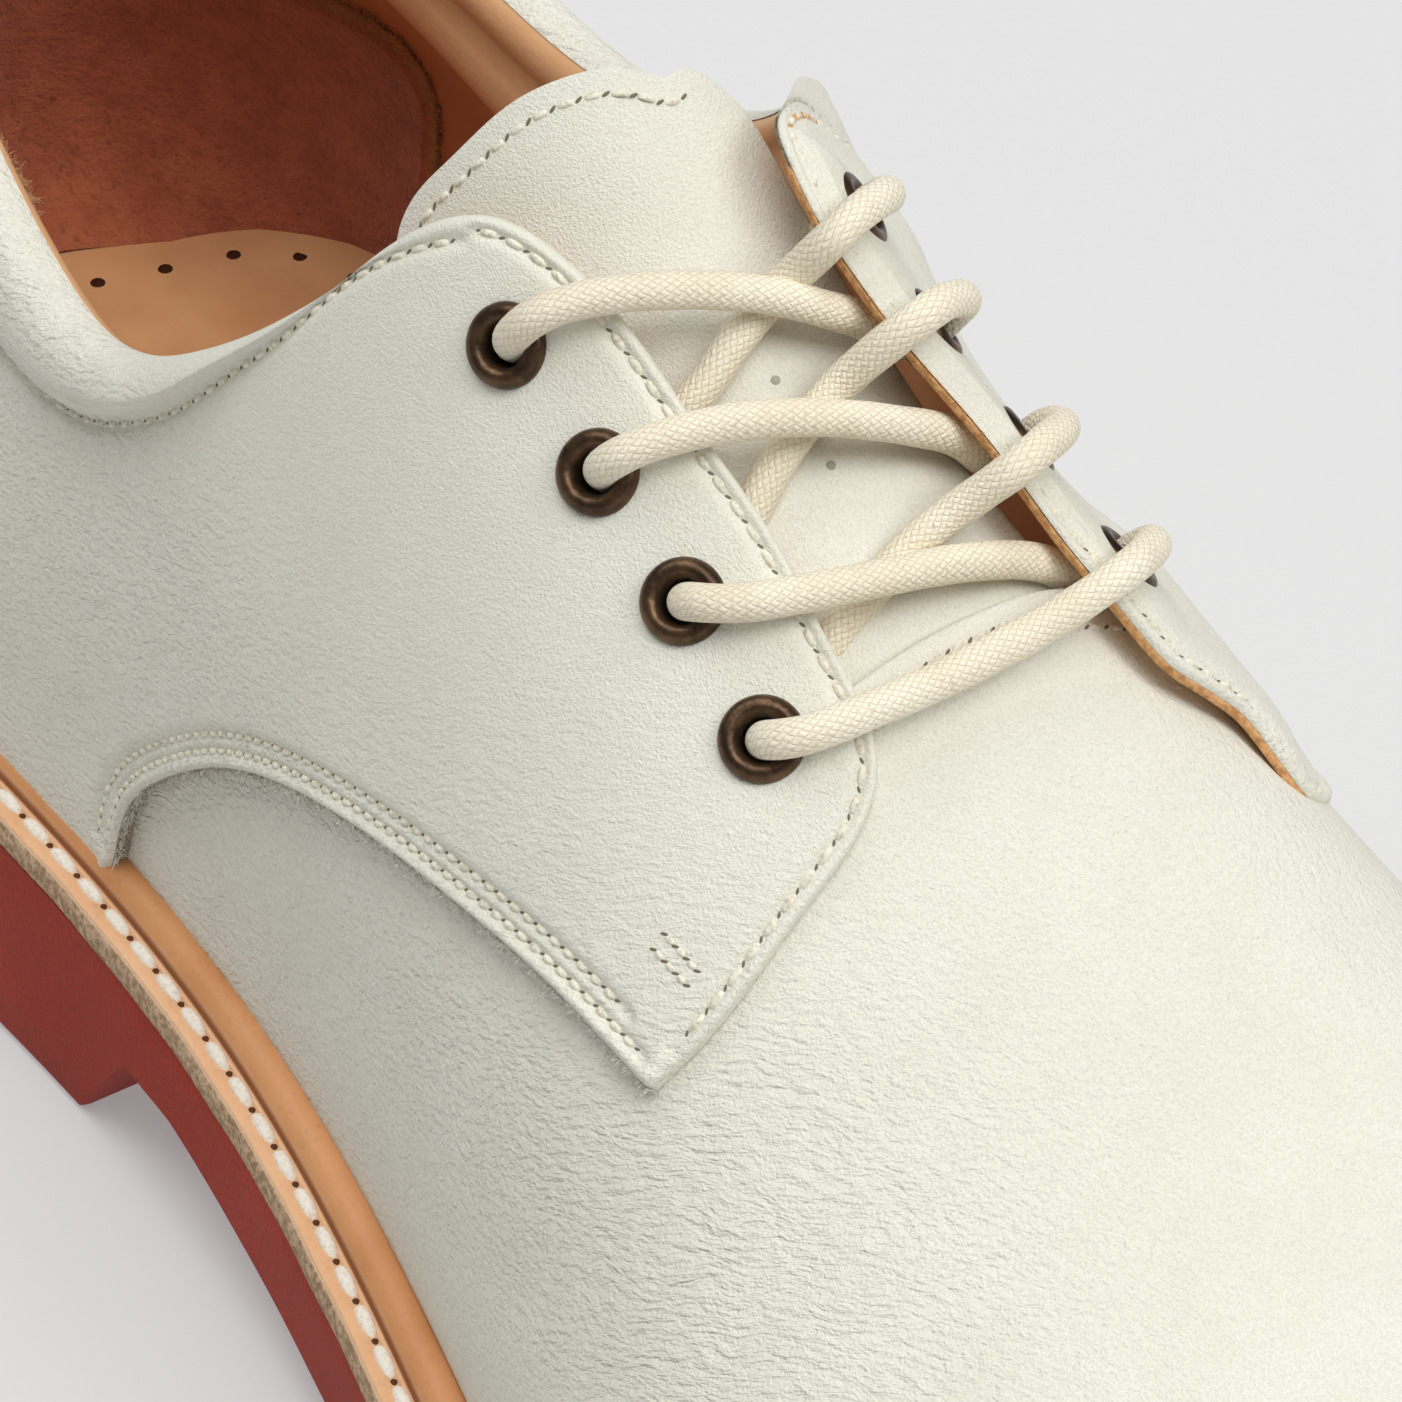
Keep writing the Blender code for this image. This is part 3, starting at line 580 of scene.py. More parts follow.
class Quarter:
    """One side's edge lines, stitch rows and the height of its leather over the last."""

    def __init__(self, side, top, lap):
        self.side = side
        self.top_chart, self.top = along_line(side, top, QUARTER_COLUMNS)
        sole_edge = [(x, 0.0) for x in np.linspace(HEEL_X, lap[0][0] - 4.0, 10)]
        self.low_chart, self.low = along_line(side, sole_edge + list(lap), QUARTER_COLUMNS)
        self.top_out = wall_out(foot_u(side, self.top_chart[:, 0]), self.top_chart[:, 1])
        self.low_out = wall_out(foot_u(side, self.low_chart[:, 0]), self.low_chart[:, 1])
        self.top_away = self.away(self.top, self.top_out, -side)
        self.low_away = self.away(self.low, self.low_out, side)
        furthest = self.top_chart[:, 0].argmax()
        foot = np.where(np.arange(QUARTER_COLUMNS) > furthest, 180.0, self.top_chart[:, 0])
        self.radius = np.interp(foot, COLLAR_ROLL[:, 0], COLLAR_ROLL[:, 1])
        self.swell = np.interp(foot, COLLAR_ROLL[:, 0], COLLAR_ROLL[:, 2])
        self.rolled = 1 - np.clip((foot - 106.0) / 6.0, 0.0, 1.0)
        self.collar_row = along_line(side, COLLAR_STITCH[side], 220)
        self.row_gap = nearest(self.collar_row[1], self.top)[0]
        self.under = QUARTER_UNDER + (FLAP_SKIVE if side == INNER else 0.0)
        self.stand = np.zeros(QUARTER_COLUMNS)
        self.hollow = np.zeros(QUARTER_COLUMNS)
        if side == INNER:
            self.stand = np.interp(foot, FLAP_SHARE[:, 0], FLAP_SHARE[:, 1]) * FLAP_STAND
            self.hollow = np.interp(foot, FLAP_SHARE[:, 0], FLAP_SHARE[:, 2]) * HOLLOW_DEPTH
            # Running means take the corners out of the two tables
            soft = np.hanning(13) / np.hanning(13).sum()
            self.stand = np.convolve(np.pad(self.stand, 6, mode="edge"), soft, mode="valid")
            self.hollow = np.convolve(np.pad(self.hollow, 6, mode="edge"), soft, mode="valid")
        # The hollow lies along the facing alone, and fades out towards the collar
        facing = (foot > 117.0) & (foot < 180.0)
        self.hollow = self.hollow[facing]
        self.facing_line = self.top[facing]
        self.collar_line = self.top[foot < 113.0]
        self.rows = []

    def away(self, line, out, turn):
        """Unit vector in the surface that leads away from the panel at its edge."""
        return unit(np.cross(out, np.gradient(line, axis=0))) * turn

    def inset(self, edge, away, chart, distance):
        """Chart points of a line that runs a distance inside an edge."""
        u = foot_u(self.side, chart[:, 0])
        along_u = (wall(u + 0.0005, chart[:, 1]) - wall(u - 0.0005, chart[:, 1])) / 0.001
        along_rise = (wall(u, chart[:, 1] + 0.003) - wall(u, chart[:, 1] - 0.003)) / 0.006
        move = -away * distance
        uu = (along_u**2).sum(axis=1)
        rr = (along_rise**2).sum(axis=1)
        ur = (along_u * along_rise).sum(axis=1)
        pu = (along_u * move).sum(axis=1)
        pr = (along_rise * move).sum(axis=1)
        whole = uu * rr - ur**2
        new_u = u + (pu * rr - pr * ur) / whole
        new_rise = chart[:, 1] + (pr * uu - pu * ur) / whole
        return np.column_stack([feather(new_u)[:, 0], new_rise])

    def flap(self, points, gap, place, low_gap):
        """Stand of the facing: a smooth step down from its edge, less a bell-shaped hollow further in."""
        near = np.clip(1 - gap / FLAP_REACH, 0.0, 1.0)
        stand = np.interp(place, np.arange(QUARTER_COLUMNS), self.stand) * near**2 * (3 - 2 * near)
        face_gap, face_place = nearest(points, self.facing_line)
        bell = np.exp(-((face_gap - HOLLOW_AT) / HOLLOW_WIDTH)**2) * (1 - np.exp(-(low_gap / 8.0)**2))
        bell *= 1 - np.exp(-(nearest(points, self.collar_line)[0] / HOLLOW_FADE)**2)
        return stand - np.interp(face_place, np.arange(len(self.hollow)), self.hollow) * bell

    def lift(self, points):
        """Height of the leather over the last, from the distances to its edges and stitch rows.

        Within the roll's radius of the top edge it follows a circle; from there to the padding's stitch
        line it is a full curve that ends steeply; each stitch row pulls it down in a narrow bell.
        """
        gap, place = nearest(points, self.top)
        count = np.arange(QUARTER_COLUMNS)
        radius = np.interp(place, count, self.radius)
        swell = np.interp(place, count, self.swell)
        row_away, row_place = nearest(points, self.collar_row[1])
        above = gap < np.interp(row_place, np.arange(len(self.row_gap)), self.row_gap)
        down = np.clip(gap - radius, 0.0, None)
        share = np.where(above, down / (down + row_away + 1e-6), 1.0)
        lift = QUARTER_TOP + swell * (1 - share**2.6)**0.65
        inside = np.clip(radius - gap, 0.0, radius)
        lift += np.sqrt(np.maximum(radius**2 - inside**2, 0.0)) - radius
        low_gap = nearest(points, self.low)[0]
        lift += self.flap(points, gap, place, low_gap)
        lift += LAP_PUFF * np.exp(-((low_gap - 0.75) / 0.55)**2)
        lift -= 0.35 * np.clip(1 - low_gap / 0.5, 0.0, 1.0)**2
        for row in self.rows:
            lift -= ROW_DEPTH * np.exp(-(nearest(points, row)[0] / ROW_WIDTH)**2)
        return lift - fold_depth(points) - tuck(points)

    def surface(self, u, rise):
        """Points of the leather's outer face."""
        base = wall(u, rise)
        return base + wall_out(u, rise) * self.lift(base)[..., None]

    def place(self, chart):
        """Points on the leather and the vectors out of it, for chart points."""
        u = foot_u(self.side, chart[:, 0])
        rise = chart[:, 1]
        along = self.surface(u + 0.002, rise) - self.surface(u - 0.002, rise)
        up = self.surface(u, rise + 0.012) - self.surface(u, rise - 0.012)
        return self.surface(u, rise), unit(np.cross(along, up))


def cut_round(points, faces, places, radius):
    """Faces left when those within a radius of any place are taken out."""
    middle = points[faces].mean(axis=1)
    kept = np.all([np.linalg.norm(middle - place, axis=1) > radius for place in places], axis=0)
    return faces[kept]


quarters = {OUTER: Quarter(OUTER, OUTER_TOP, OUTER_LAP), INNER: Quarter(INNER, INNER_TOP, INNER_LAP)}
quarter_rows = {}
for side, panel in quarters.items():
    facing = np.searchsorted(panel.top_chart[:, 0], 112.0)
    facing_row = panel.inset(panel.top, panel.top_away, panel.top_chart, FACING_ROW_IN)[facing:-6]
    lap_start = np.searchsorted(panel.low_chart[:, 0], 88.5)
    lap_rows = [panel.inset(panel.low, panel.low_away, panel.low_chart, inset)[lap_start:-4 - 6 * k]
                for k, inset in enumerate(LAP_ROWS_IN)]
    collar_row = panel.collar_row[0] - (0.0, COLLAR_ROW_DOWN)
    rows = {"collar": collar_row, "facing": facing_row, "lap_1": lap_rows[0], "lap_2": lap_rows[1]}
    panel.rows = [wall(foot_u(side, chart[:, 0]), chart[:, 1])[::3] for chart in rows.values()]
    quarter_rows[side] = rows

for side, panel in quarters.items():
    share = np.linspace(0.0, 1.0, QUARTER_ROWS)
    share = (share - 0.11 * np.sin(share * 2 * math.pi))[:, None, None]
    chart = panel.low_chart * (1 - share) + panel.top_chart * share
    u = foot_u(side, chart[..., 0])
    base = wall(u, chart[..., 1])
    out = wall_out(u, chart[..., 1])
    field = base + out * panel.lift(base)[..., None]
    # Over the top edge: on the collar the roll goes on to the lining, on the facing the cut edge goes down
    turn = np.linspace(0.0, 1.0, 9)[1:, None]
    angle = np.radians(90 + turn * (ROLL_END - 90))
    centre = QUARTER_TOP + panel.swell - panel.radius
    roll_up = panel.radius * (np.sin(angle) - 1)
    roll_out = centre + panel.radius * np.cos(angle)
    cut_up = np.interp(turn, (0.0, 0.45, 0.6, 1.0), (0.0, 0.0, -0.15, -3.0))
    cut_out = np.interp(turn, (0.0, 0.45, 0.6, 1.0), (0.0, 1.0, 1.0, 1.0)) * (panel.under - centre) + centre
    up = roll_up * panel.rolled + cut_up * (1 - panel.rolled)
    level = roll_out * panel.rolled + cut_out * (1 - panel.rolled) + panel.stand
    rim = panel.top + panel.top_away * up[..., None] + panel.top_out * level[..., None]
    # Under the lower edge: the raw cut goes down to the vamp
    low_lift = panel.lift(panel.low)
    low_away = np.array([-2.0, -0.25, -0.05, 0.04, 0.05, 0.03])[:, None]
    low_level = np.array([0.02, 0.02, 0.15, 0.45, 0.8, 0.95])[:, None] * low_lift
    hem = panel.low + panel.low_away * low_away[..., None] + panel.low_out * low_level[..., None]
    sheet = np.concatenate([hem, field, rim])
    raw = np.zeros(sheet.shape[:2])
    raw[:len(hem)] = 0.9
    raw[len(hem)] = 0.5
    points, faces = grid(sheet, flip=side == INNER)
    faces = cut_round(points, faces, panel.place(np.array(EYELETS[side]))[0], EYELET_CUT)
    name = "quarter_outer" if side == OUTER else "quarter_inner"
    make(name + "_leather", [(points, faces)], nubuck, [name],
         {"crease": crease_marks(points), "raw": raw.ravel()})


def fibres(line, away, out, count, length, thick, seed):
    """Loose fibres along a chain of points: thin bent cones that lean away from the edge."""
    chance = np.random.default_rng(seed)
    at = chance.uniform(0.0, len(line) - 1.0, count)
    links = np.arange(len(line))
    root, lean, over = (sample(at, links, rows) for rows in (line, away, out))
    root = root + chance.normal(0.0, 0.12, (count, 3))
    lean = unit(lean + 0.5 * over + chance.normal(0.0, 0.5, (count, 3)))
    reach = length * chance.uniform(0.3, 1.0, (count, 1))
    curl = chance.normal(0.0, 0.4, (count, 3)) * reach
    share = np.array([0.0, 0.5, 1.0])[:, None]
    spine = root[:, None] + (lean * reach)[:, None] * share + curl[:, None] * share**2
    side = unit(np.cross(lean, np.array([0.3, 0.5, 0.8])))
    spin = np.radians([0.0, 120.0, 240.0])[:, None]
    spoke = side[:, None] * np.cos(spin) + np.cross(lean, side)[:, None] * np.sin(spin)
    points = spine[:, :, None] + spoke[:, None] * (thick * (1 - share**2))[None, :, :, None]
    faces = grid_faces(3, 3, ring=True)[None] + 9 * np.arange(count)[:, None, None]
    return points.reshape(-1, 3), faces.reshape(-1, 4)


FIBRE_LENGTH = 1.2
FIBRE_THICK = 0.07
lap_fibres = []
for side, panel in quarters.items():
    start = np.searchsorted(panel.low_chart[:, 0], 88.0)
    edge = (panel.low + panel.low_out * (0.8 * panel.lift(panel.low))[:, None])[start:]
    lap_fibres.append(fibres(edge, panel.low_away[start:], panel.low_out[start:], 900,
                             FIBRE_LENGTH, FIBRE_THICK, 4 + side))
make("lap_fibres", lap_fibres, nubuck)


# Lining. Smooth tan leather inside the quarters, turned up to the collar's roll and cut off at the facing.
# A red-brown suede grip is stuck over it round the heel, with a loose fuzzy edge.
LINING_DEEP = -2.3
LINING_FACING = -0.85
LINING_FLARE = 1.4
# Lower end of the lining. Columns: foot x, rise
LINING_FOOT = ((HEEL_X, 0.03), (60.0, 0.03), (110.0, 0.03), (160.0, 0.03))
PADDING_IN = 2.6
lining_edge_colour = colour(232, 180, 122)


def lining_finish():
    """Tan lining leather: satin on its face, rough and fibrous on the cut edge, where the mark raw is 1.

    Below the collar, where the mark deep is 1, painted shade makes the leather darker.
    """
    material, shader, dye = new_finish("lining_leather", {"Specular IOR Level": 0.45})
    place = dye.object_place()
    grain = dye.noise(place, 1500.0, 3.0, 0.6)
    cloud = dye.noise(place, 45.0, 3.0, 0.55)
    raw = dye.mark("raw")
    high = dye.blend(cloud.fade(0.3, 0.75), colour(226, 172, 124), colour(238, 190, 144))
    # Painted shade: the face darkens to brown further down inside the shoe, where the mark deep says.
    face = dye.blend(dye.mark("deep"), high, colour(180, 112, 74))
    fibre = dye.blend(grain.fade(0.3, 0.7), colour(188, 132, 80), lining_edge_colour)
    wire(shader, Base_Color=dye.blend(raw, face, fibre), Roughness=raw * 0.4 + grain * 0.15 + 0.36,
         Normal=dye.bump(grain * (0.25 + raw * 1.4), 0.0002))
    return material


lining_leather = lining_finish()
LINING_ROWS = 46
lining_parts = []
lining_raw = []
lining_painted_shade = []
for side, panel in quarters.items():
    floor_chart = along_line(side, LINING_FOOT, QUARTER_COLUMNS)[0]
    turn = np.linspace(0.0, 1.0, 10)[:, None]
    angle = np.radians(ROLL_END - 7 + turn * (192 - ROLL_END))
    inner_radius = panel.radius - 0.1
    centre = QUARTER_TOP + panel.swell - panel.radius
    roll_up = inner_radius * np.sin(angle) - panel.radius
    roll_out = centre + inner_radius * np.cos(angle)
    # The lip stays behind the leather, apart from the inner facing below its top corner
    set_back = np.interp(panel.top_chart[:, 0], (116.0, 119.5), (-0.8, 0.0)) if side == INNER else -0.9
    cut_up = np.interp(turn, (0.0, 0.2, 0.4, 0.7, 1.0), (-0.6, 0.0, 0.12, 0.1, -1.2)) + set_back
    cut_out = np.interp(turn, (0.0, 0.2, 0.4, 0.7, 1.0), (0.06, 0.06, -0.2, -0.7, LINING_FACING))
    cut_out = cut_out + panel.under - QUARTER_UNDER + 0.06
    up = roll_up * panel.rolled + cut_up * (1 - panel.rolled)
    level = roll_out * panel.rolled + cut_out * (1 - panel.rolled) + panel.stand
    lip = panel.top + panel.top_away * up[..., None] + panel.top_out * level[..., None]
    # Below the lip the padding bellies in a little, and then the lining follows the last
    share = np.linspace(0.0, 1.0, LINING_ROWS)[1:, None]
    start = panel.inset(panel.top, panel.top_away, panel.top_chart, panel.radius[:, None] + 1.2)
    chart = start * (1 - share[..., None]) + floor_chart * share[..., None]
    u = foot_u(side, chart[..., 0])
    base = wall(u, chart[..., 1])
    gap, place = nearest(base, panel.top)
    count = np.arange(QUARTER_COLUMNS)
    rolled = np.interp(place, count, panel.rolled)
    top_level = np.interp(place, count, level[-1] - panel.stand)
    deep = top_level + (LINING_DEEP - top_level) * np.clip((gap - 3.0) / 22.0, 0.0, 1.0)
    deep += LINING_FLARE * np.clip(1 - above_feather(base) / 9.0, 0.0, 1.0)
    deep -= PADDING_IN * rolled * np.exp(-((gap - 9.0) / 4.5)**2)
    deep += panel.flap(base, gap, place, nearest(base, panel.low)[0])
    inside = base + wall_out(u, chart[..., 1]) * deep[..., None]
    points, faces = grid(np.concatenate([lip, inside]), flip=side == INNER)
    raw = np.zeros((10 + LINING_ROWS - 1, QUARTER_COLUMNS))
    raw[:9] = 1 - panel.rolled
    eyes = np.array(EYELETS[side])
    faces = cut_round(points, faces, wall(foot_u(side, eyes[:, 0]), eyes[:, 1]), EYELET_CUT + 1.6)
    lining_parts.append((points, faces))
    lining_raw.append(raw.ravel())
    # The mark deep is painted shade, growing from 7 mm to 21 mm below the top edge on the rolled collar.
    depth = np.clip((gap - 7.0) / 14.0, 0.0, 1.0) * rolled
    lining_painted_shade.append(np.concatenate([np.zeros(10 * QUARTER_COLUMNS), depth.ravel()]))
# The vamp's own lining closes the toe
for side in (OUTER, INNER):
    toe_u, toe_rise = np.meshgrid(foot_u(side, np.linspace(158.0, 293.4, 50)), np.linspace(0.02, 1.0, 24))
    points, faces = grid(skin(toe_u, toe_rise, np.full(toe_u.shape, -VAMP_WALL - 0.3)), flip=side == INNER)
    lining_parts.append((points, faces))
    lining_raw.append(np.zeros(len(points)))
    lining_painted_shade.append(np.zeros(len(points)))
# The mark deep carries the painted shade.
lining_marks = {"raw": np.concatenate(lining_raw), "deep": np.concatenate(lining_painted_shade)}
make("lining", lining_parts, lining_leather, (), lining_marks, weld=False)


def suede_finish():
    """Red-brown suede: a rough nap with darker flecks."""
    material, shader, dye = new_finish("suede_grip", {"Roughness": 0.95, "Specular IOR Level": 0.1,
                                                      "Sheen Weight": 0.35, "Sheen Roughness": 0.5})
    place = dye.object_place()
    nap = dye.noise(place, 1100.0, 4.0, 0.7)
    patch = dye.noise(place, 230.0, 3.0, 0.6)
    tone = dye.blend(patch.fade(0.25, 0.75), colour(164, 88, 58), colour(188, 108, 74))
    flecked = dye.blend(nap.fade(0.2, 0.5), colour(138, 70, 44), tone)
    edge = dye.mark("raw")
    wire(shader, Base_Color=dye.blend(edge, flecked, colour(206, 150, 96)), Normal=dye.bump(nap, 0.0007))
    return material


suede = suede_finish()
# Top of the grip: the outer side goes up to the collar. Columns: foot x, rise
GRIP_TOP = {
    OUTER: ((6.5, 0.44), (25.0, 0.47), (45.0, 0.48), (56.0, 0.44), (59.0, 0.36), (59.5, 0.20),
            (58.0, 0.0)),
    INNER: ((6.5, 0.44), (14.0, 0.37), (21.0, 0.32), (30.0, 0.305), (36.5, 0.292), (39.5, 0.262),
            (39.6, 0.18), (38.5, 0.0)),
}
GRIP_LIFT = -3.6
GRIP_ROWS = 60
GRIP_COLUMNS = 160
# Lean of its foot. Columns: x, distance inward
GRIP_LEAN = np.array([(6.5, 4.4), (14.0, 3.2), (20.0, 0.0), (28.0, -2.1), (45.0, -2.1)])
grip_parts = []
grip_raw = []
for side in (OUTER, INNER):
    top_chart, top_line = along_line(side, GRIP_TOP[side], GRIP_COLUMNS)
    foot_ends = ((HEEL_X, 0.0), (20.0, 0.0), (GRIP_TOP[side][-1][0], 0.0))
    foot_chart = along_line(side, foot_ends, GRIP_COLUMNS)[0]
    share = np.linspace(0.0, 1.0, GRIP_ROWS)[:, None, None]**1.4
    chart = top_chart * (1 - share) + foot_chart * share
    u = foot_u(side, chart[..., 0])
    base = wall(u, chart[..., 1])
    gap = nearest(base, quarters[side].top)[0]
    lift = GRIP_LIFT - 2.2 * np.exp(-((gap - 7.5) / 6.5)**2)
    # Its foot leans in at the back and out at the sides
    low = np.clip(1 - above_feather(base) / 14.0, 0.0, 1.0)
    lift -= low**2 * np.interp(base[..., 0], GRIP_LEAN[:, 0], GRIP_LEAN[:, 1])
    edge_gap = nearest(base, top_line)[0]
    lift += 1.25 * np.clip(1 - edge_gap / 1.0, 0.0, 1.0)
    points, faces = grid(base + wall_out(u, chart[..., 1]) * lift[..., None], flip=side == OUTER)
    grip_parts.append((points, faces[:, ::-1]))
    grip_raw.append(np.clip(1 - edge_gap / 0.9, 0.0, 1.0).ravel())
    sheet = points.reshape(GRIP_ROWS, GRIP_COLUMNS, 3)
    rim = sheet[0, :-20]
    rim_out = -wall_out(u[0], chart[0, :, 1])[:-20]
    rim_away = rim - sheet[4, :-20]
    parts = fibres(rim, unit(rim_away), rim_out, 1500, 1.5, 0.07, 9 + side)
    grip_parts.append(parts)
    grip_raw.append(np.ones(len(parts[0])))
make("heel_grip", grip_parts, suede, (), {"raw": np.concatenate(grip_raw)})


# Tongue. A flap of the same nubuck under the facings, sewn in under the vamp's throat edge.
# Its free end is cut round, with one row of stitches near the edge; two small pin marks lie on its middle.
TONGUE_LIFT = -3.1
TONGUE_ROOT = -1.5
TONGUE_WALL = 1.5
# Free end. Columns: across the throat as rise still to go, minus on the outer side; foot x of the end
TONGUE_END = np.array([
    (-0.50, 112.0), (-0.47, 106.5), (-0.434, 104.4), (-0.369, 105.3), (-0.275, 106.5), (-0.181, 107.5),
    (-0.10, 107.9), (-0.03, 108.1), (0.03, 108.8), (0.08, 110.2), (0.125, 112.0), (0.15, 113.5),
    (0.168, 115.6), (0.176, 118.0),
])
TONGUE_START = 166.0
tongue_end = spline(TONGUE_END[:, 0], TONGUE_END[:, 1])


def tongue_points(across, share, lift=0.0):
    """Tongue surface: across as in the table, share 0 under the vamp and 1 at the free end."""
    foot_x = TONGUE_START + (tongue_end(across)[..., 0] - TONGUE_START) * share
    rise = 1 - np.abs(across)
    outer_u = foot_u(OUTER, foot_x)
    inner_u = foot_u(INNER, foot_x)
    drop = np.clip((share - 0.16) / 0.42, 0.0, 1.0)
    height = TONGUE_ROOT + (TONGUE_LIFT - TONGUE_ROOT) * drop**2 * (3 - 2 * drop) + lift
    # The two sides are blended over the ridge, so that the crown has no kink
    side_share = np.clip(across / 0.26 + 0.5, 0.0, 1.0)
    side_share = (side_share**2 * (3 - 2 * side_share))[..., None]
    u = np.where(across <= 0, outer_u, inner_u)
    out = unit(wall_out(outer_u, rise) * (1 - side_share) + wall_out(inner_u, rise) * side_share)
    return wall(u, rise) + out * np.broadcast_to(height, rise.shape)[..., None], out


across, share = np.meshgrid(np.linspace(TONGUE_END[0, 0], TONGUE_END[-1, 0], 130),
                            1 - np.linspace(1.0, 0.0, 130)**1.3)
tongue_sheet = tongue_points(across, share)[0]
tongue = make("tongue_leather", [grid(tongue_sheet)], nubuck, ["tongue"],
              {"crease": crease_marks(tongue_sheet.reshape(-1, 3)) * 0.6})
body = tongue.modifiers.new("thickness", "SOLIDIFY")
body.thickness = TONGUE_WALL * MM
body.offset = -1.0


# Insole. A tan leather sock on the board, with a row of punched holes round the heel seat, drawn as dots of
# painted shade.
INSOLE_IN = 0.9
INSOLE_TOP = 2.7


def insole_finish():
    """Vegetable-tanned sock leather: pale tan, smooth, a little darker in clouds."""
    material, shader, dye = new_finish("sock_leather", {"Specular IOR Level": 0.4})
    place = dye.object_place()
    grain = dye.noise(place, 1300.0, 3.0, 0.6)
    cloud = dye.noise(place, 60.0, 3.0, 0.6)
    tone = dye.blend(cloud.fade(0.3, 0.75), colour(196, 142, 96), colour(216, 166, 118))
    wire(shader, Base_Color=tone, Roughness=grain * 0.2 + 0.42, Normal=dye.bump(grain, 0.00008))
    return material


LOOP_COLUMNS = 560
# The columns lie a little closer at the two ends
half_turn = np.linspace(0.0, math.pi, LOOP_COLUMNS // 2 + 1)
loop_foot = HEEL_X + (TIP_X - HEEL_X) * (0.5 - 0.5 * np.cos(half_turn))
loop_foot = 0.75 * np.linspace(HEEL_X, TIP_X, LOOP_COLUMNS // 2 + 1) + 0.25 * loop_foot
loop_u = np.concatenate([foot_u(OUTER, loop_foot), foot_u(INNER, loop_foot[-2:0:-1])])
loop_u[0] = 0.0
loop_xy = feather(loop_u)
loop_out = feather_out(loop_u)
loop_foot = np.concatenate([loop_foot, loop_foot[-2:0:-1]])
loop_z = last_at(loop_foot)[:, 0]


def loop_line(out, height):
    """The feather loop moved out by a distance, at a height for each of its points."""
    level = loop_xy + loop_out * np.asarray(out).reshape(-1, 1)
    return np.column_stack([level, np.broadcast_to(height, LOOP_COLUMNS)])


def across_lid(edge, rows=15):
    """Surface inside a closed loop: straight lines from outer points to inner points of the same foot."""
    half = LOOP_COLUMNS // 2
    left = edge[:half + 1]
    right = np.concatenate([edge[:1], edge[half:][::-1]])
    share = np.linspace(0.0, 1.0, rows)[:, None, None]
    return left * (1 - share) + right * share


sock = across_lid(loop_line(-INSOLE_IN, loop_z + INSOLE_TOP))
side_share = np.abs(np.linspace(-1.0, 1.0, 15))[:, None]
sock[..., 2] += 1.1 * side_share**3 - 0.4
make("insole_sock", [grid(sock)], insole_finish(), ["insole"])

# Punched holes, drawn as dark dots of painted shade. Columns: x, y
HOLES = np.array([
    (33.0, 25.2), (27.5, 22.8), (23.7, 18.0), (21.9, 11.8), (20.3, 5.6), (20.4, -0.7), (21.7, -6.9),
    (23.9, -12.8), (27.6, -17.9), (33.0, -21.0),
])
HOLE_RADIUS = 0.95


def dark_finish(name, shade):
    """Flat colour of the painted shade inside a hole."""
    material, shader, dye = new_finish(name, {"Roughness": 0.9, "Specular IOR Level": 0.1})
    shader.inputs["Base Color"].default_value = shade
    speck = dye.noise(dye.object_place(), 2500.0)
    wire(shader, Roughness=speck * 0.2 + 0.75)
    return material


def dots(places, out, radius, along=None, stretch=1.0):
    """Flat dots, one at each place: rings turned towards out, drawn longer in the direction along."""
    reference = np.array([0.31, 0.82, 0.48]) if along is None else along
    first = unit(np.cross(out, np.broadcast_to(reference, out.shape)))
    second = np.cross(out, first)
    angle = np.linspace(0.0, 2 * math.pi, 10, endpoint=False)
    span = np.array([0.03, 0.7, 1.0])[:, None] * radius
    sink = np.broadcast_to(np.array([0.0, 0.0, -0.5])[:, None] * radius, (3, 10))
    points = (places[:, None, None] + first[:, None, None] * (span * np.cos(angle))[None, ..., None]
              + second[:, None, None] * (span * np.sin(angle) * stretch)[None, ..., None]
              + out[:, None, None] * sink[None, ..., None])
    faces = grid_faces(3, 10, ring=True)[None] + 30 * np.arange(len(places))[:, None, None]
    return points.reshape(-1, 3), faces.reshape(-1, 4)[:, ::-1]


hole_side = np.where(HOLES[:, 1] < 0, foot_u(OUTER, HOLES[:, 0]), foot_u(INNER, HOLES[:, 0]))
hole_share = HOLES[:, 1] / feather(hole_side)[:, 1]
hole_points = np.column_stack([HOLES, last_at(HOLES[:, 0])[:, 0] + INSOLE_TOP + 1.1 * hole_share**3 - 0.3])
hole_up = np.broadcast_to(np.array([0.0, 0.0, 1.0]), hole_points.shape)
# The holes' dark inside is painted shade on flat dots.
punched_shade = dark_finish("punched_hole_shade", colour(62, 34, 20))
make("insole_hole_shade_dots", [dots(hole_points, hole_up, HOLE_RADIUS)], punched_shade)

# The two pin marks on the tongue are pressed dots of the same kind, in a grey painted shade. Columns: foot x,
# rise
PINS = np.array([(132.7, 0.928), (140.4, 0.939)])
pin_across = PINS[:, 1] - 1
pin_share = (TONGUE_START - PINS[:, 0]) / (TONGUE_START - tongue_end(pin_across)[:, 0])
pin_marks = dots(*tongue_points(pin_across, pin_share, 0.05), 0.5)
make("tongue_pin_shade_dots", [pin_marks], dark_finish("pressed_mark_shade", colour(172, 170, 158)))


# Welt. A tan leather strip all round the shoe with a bead pressed against the upper.
# It is sewn to the sole through a channel in its flat, and its outer edge is cut and left rough.
# Section from the feather line. Columns: outward, height
WELT_SECTION = np.array([
    (-1.5, 0.6), (-0.4, 1.3), (0.4, 1.66), (1.1, 1.82), (1.8, 1.76), (2.4, 1.45), (2.85, 0.9),
    (3.1, 0.25), (3.25, -0.28), (3.5, -0.42), (3.7, -0.42), (3.95, -0.5), (4.15, -0.54), (4.35, -0.5),
    (4.6, -0.38), (5.1, -0.3), (5.4, -0.3), (5.65, -0.38), (5.88, -0.58), (6.05, -0.95), (6.18, -1.7),
    (6.2, -2.4), (6.15, -2.85), (5.9, -2.95),
])
WELT_STITCH_OUT = 4.15
# Share of the upper's waist flare that the welt has
WELT_FLARE = 0.4


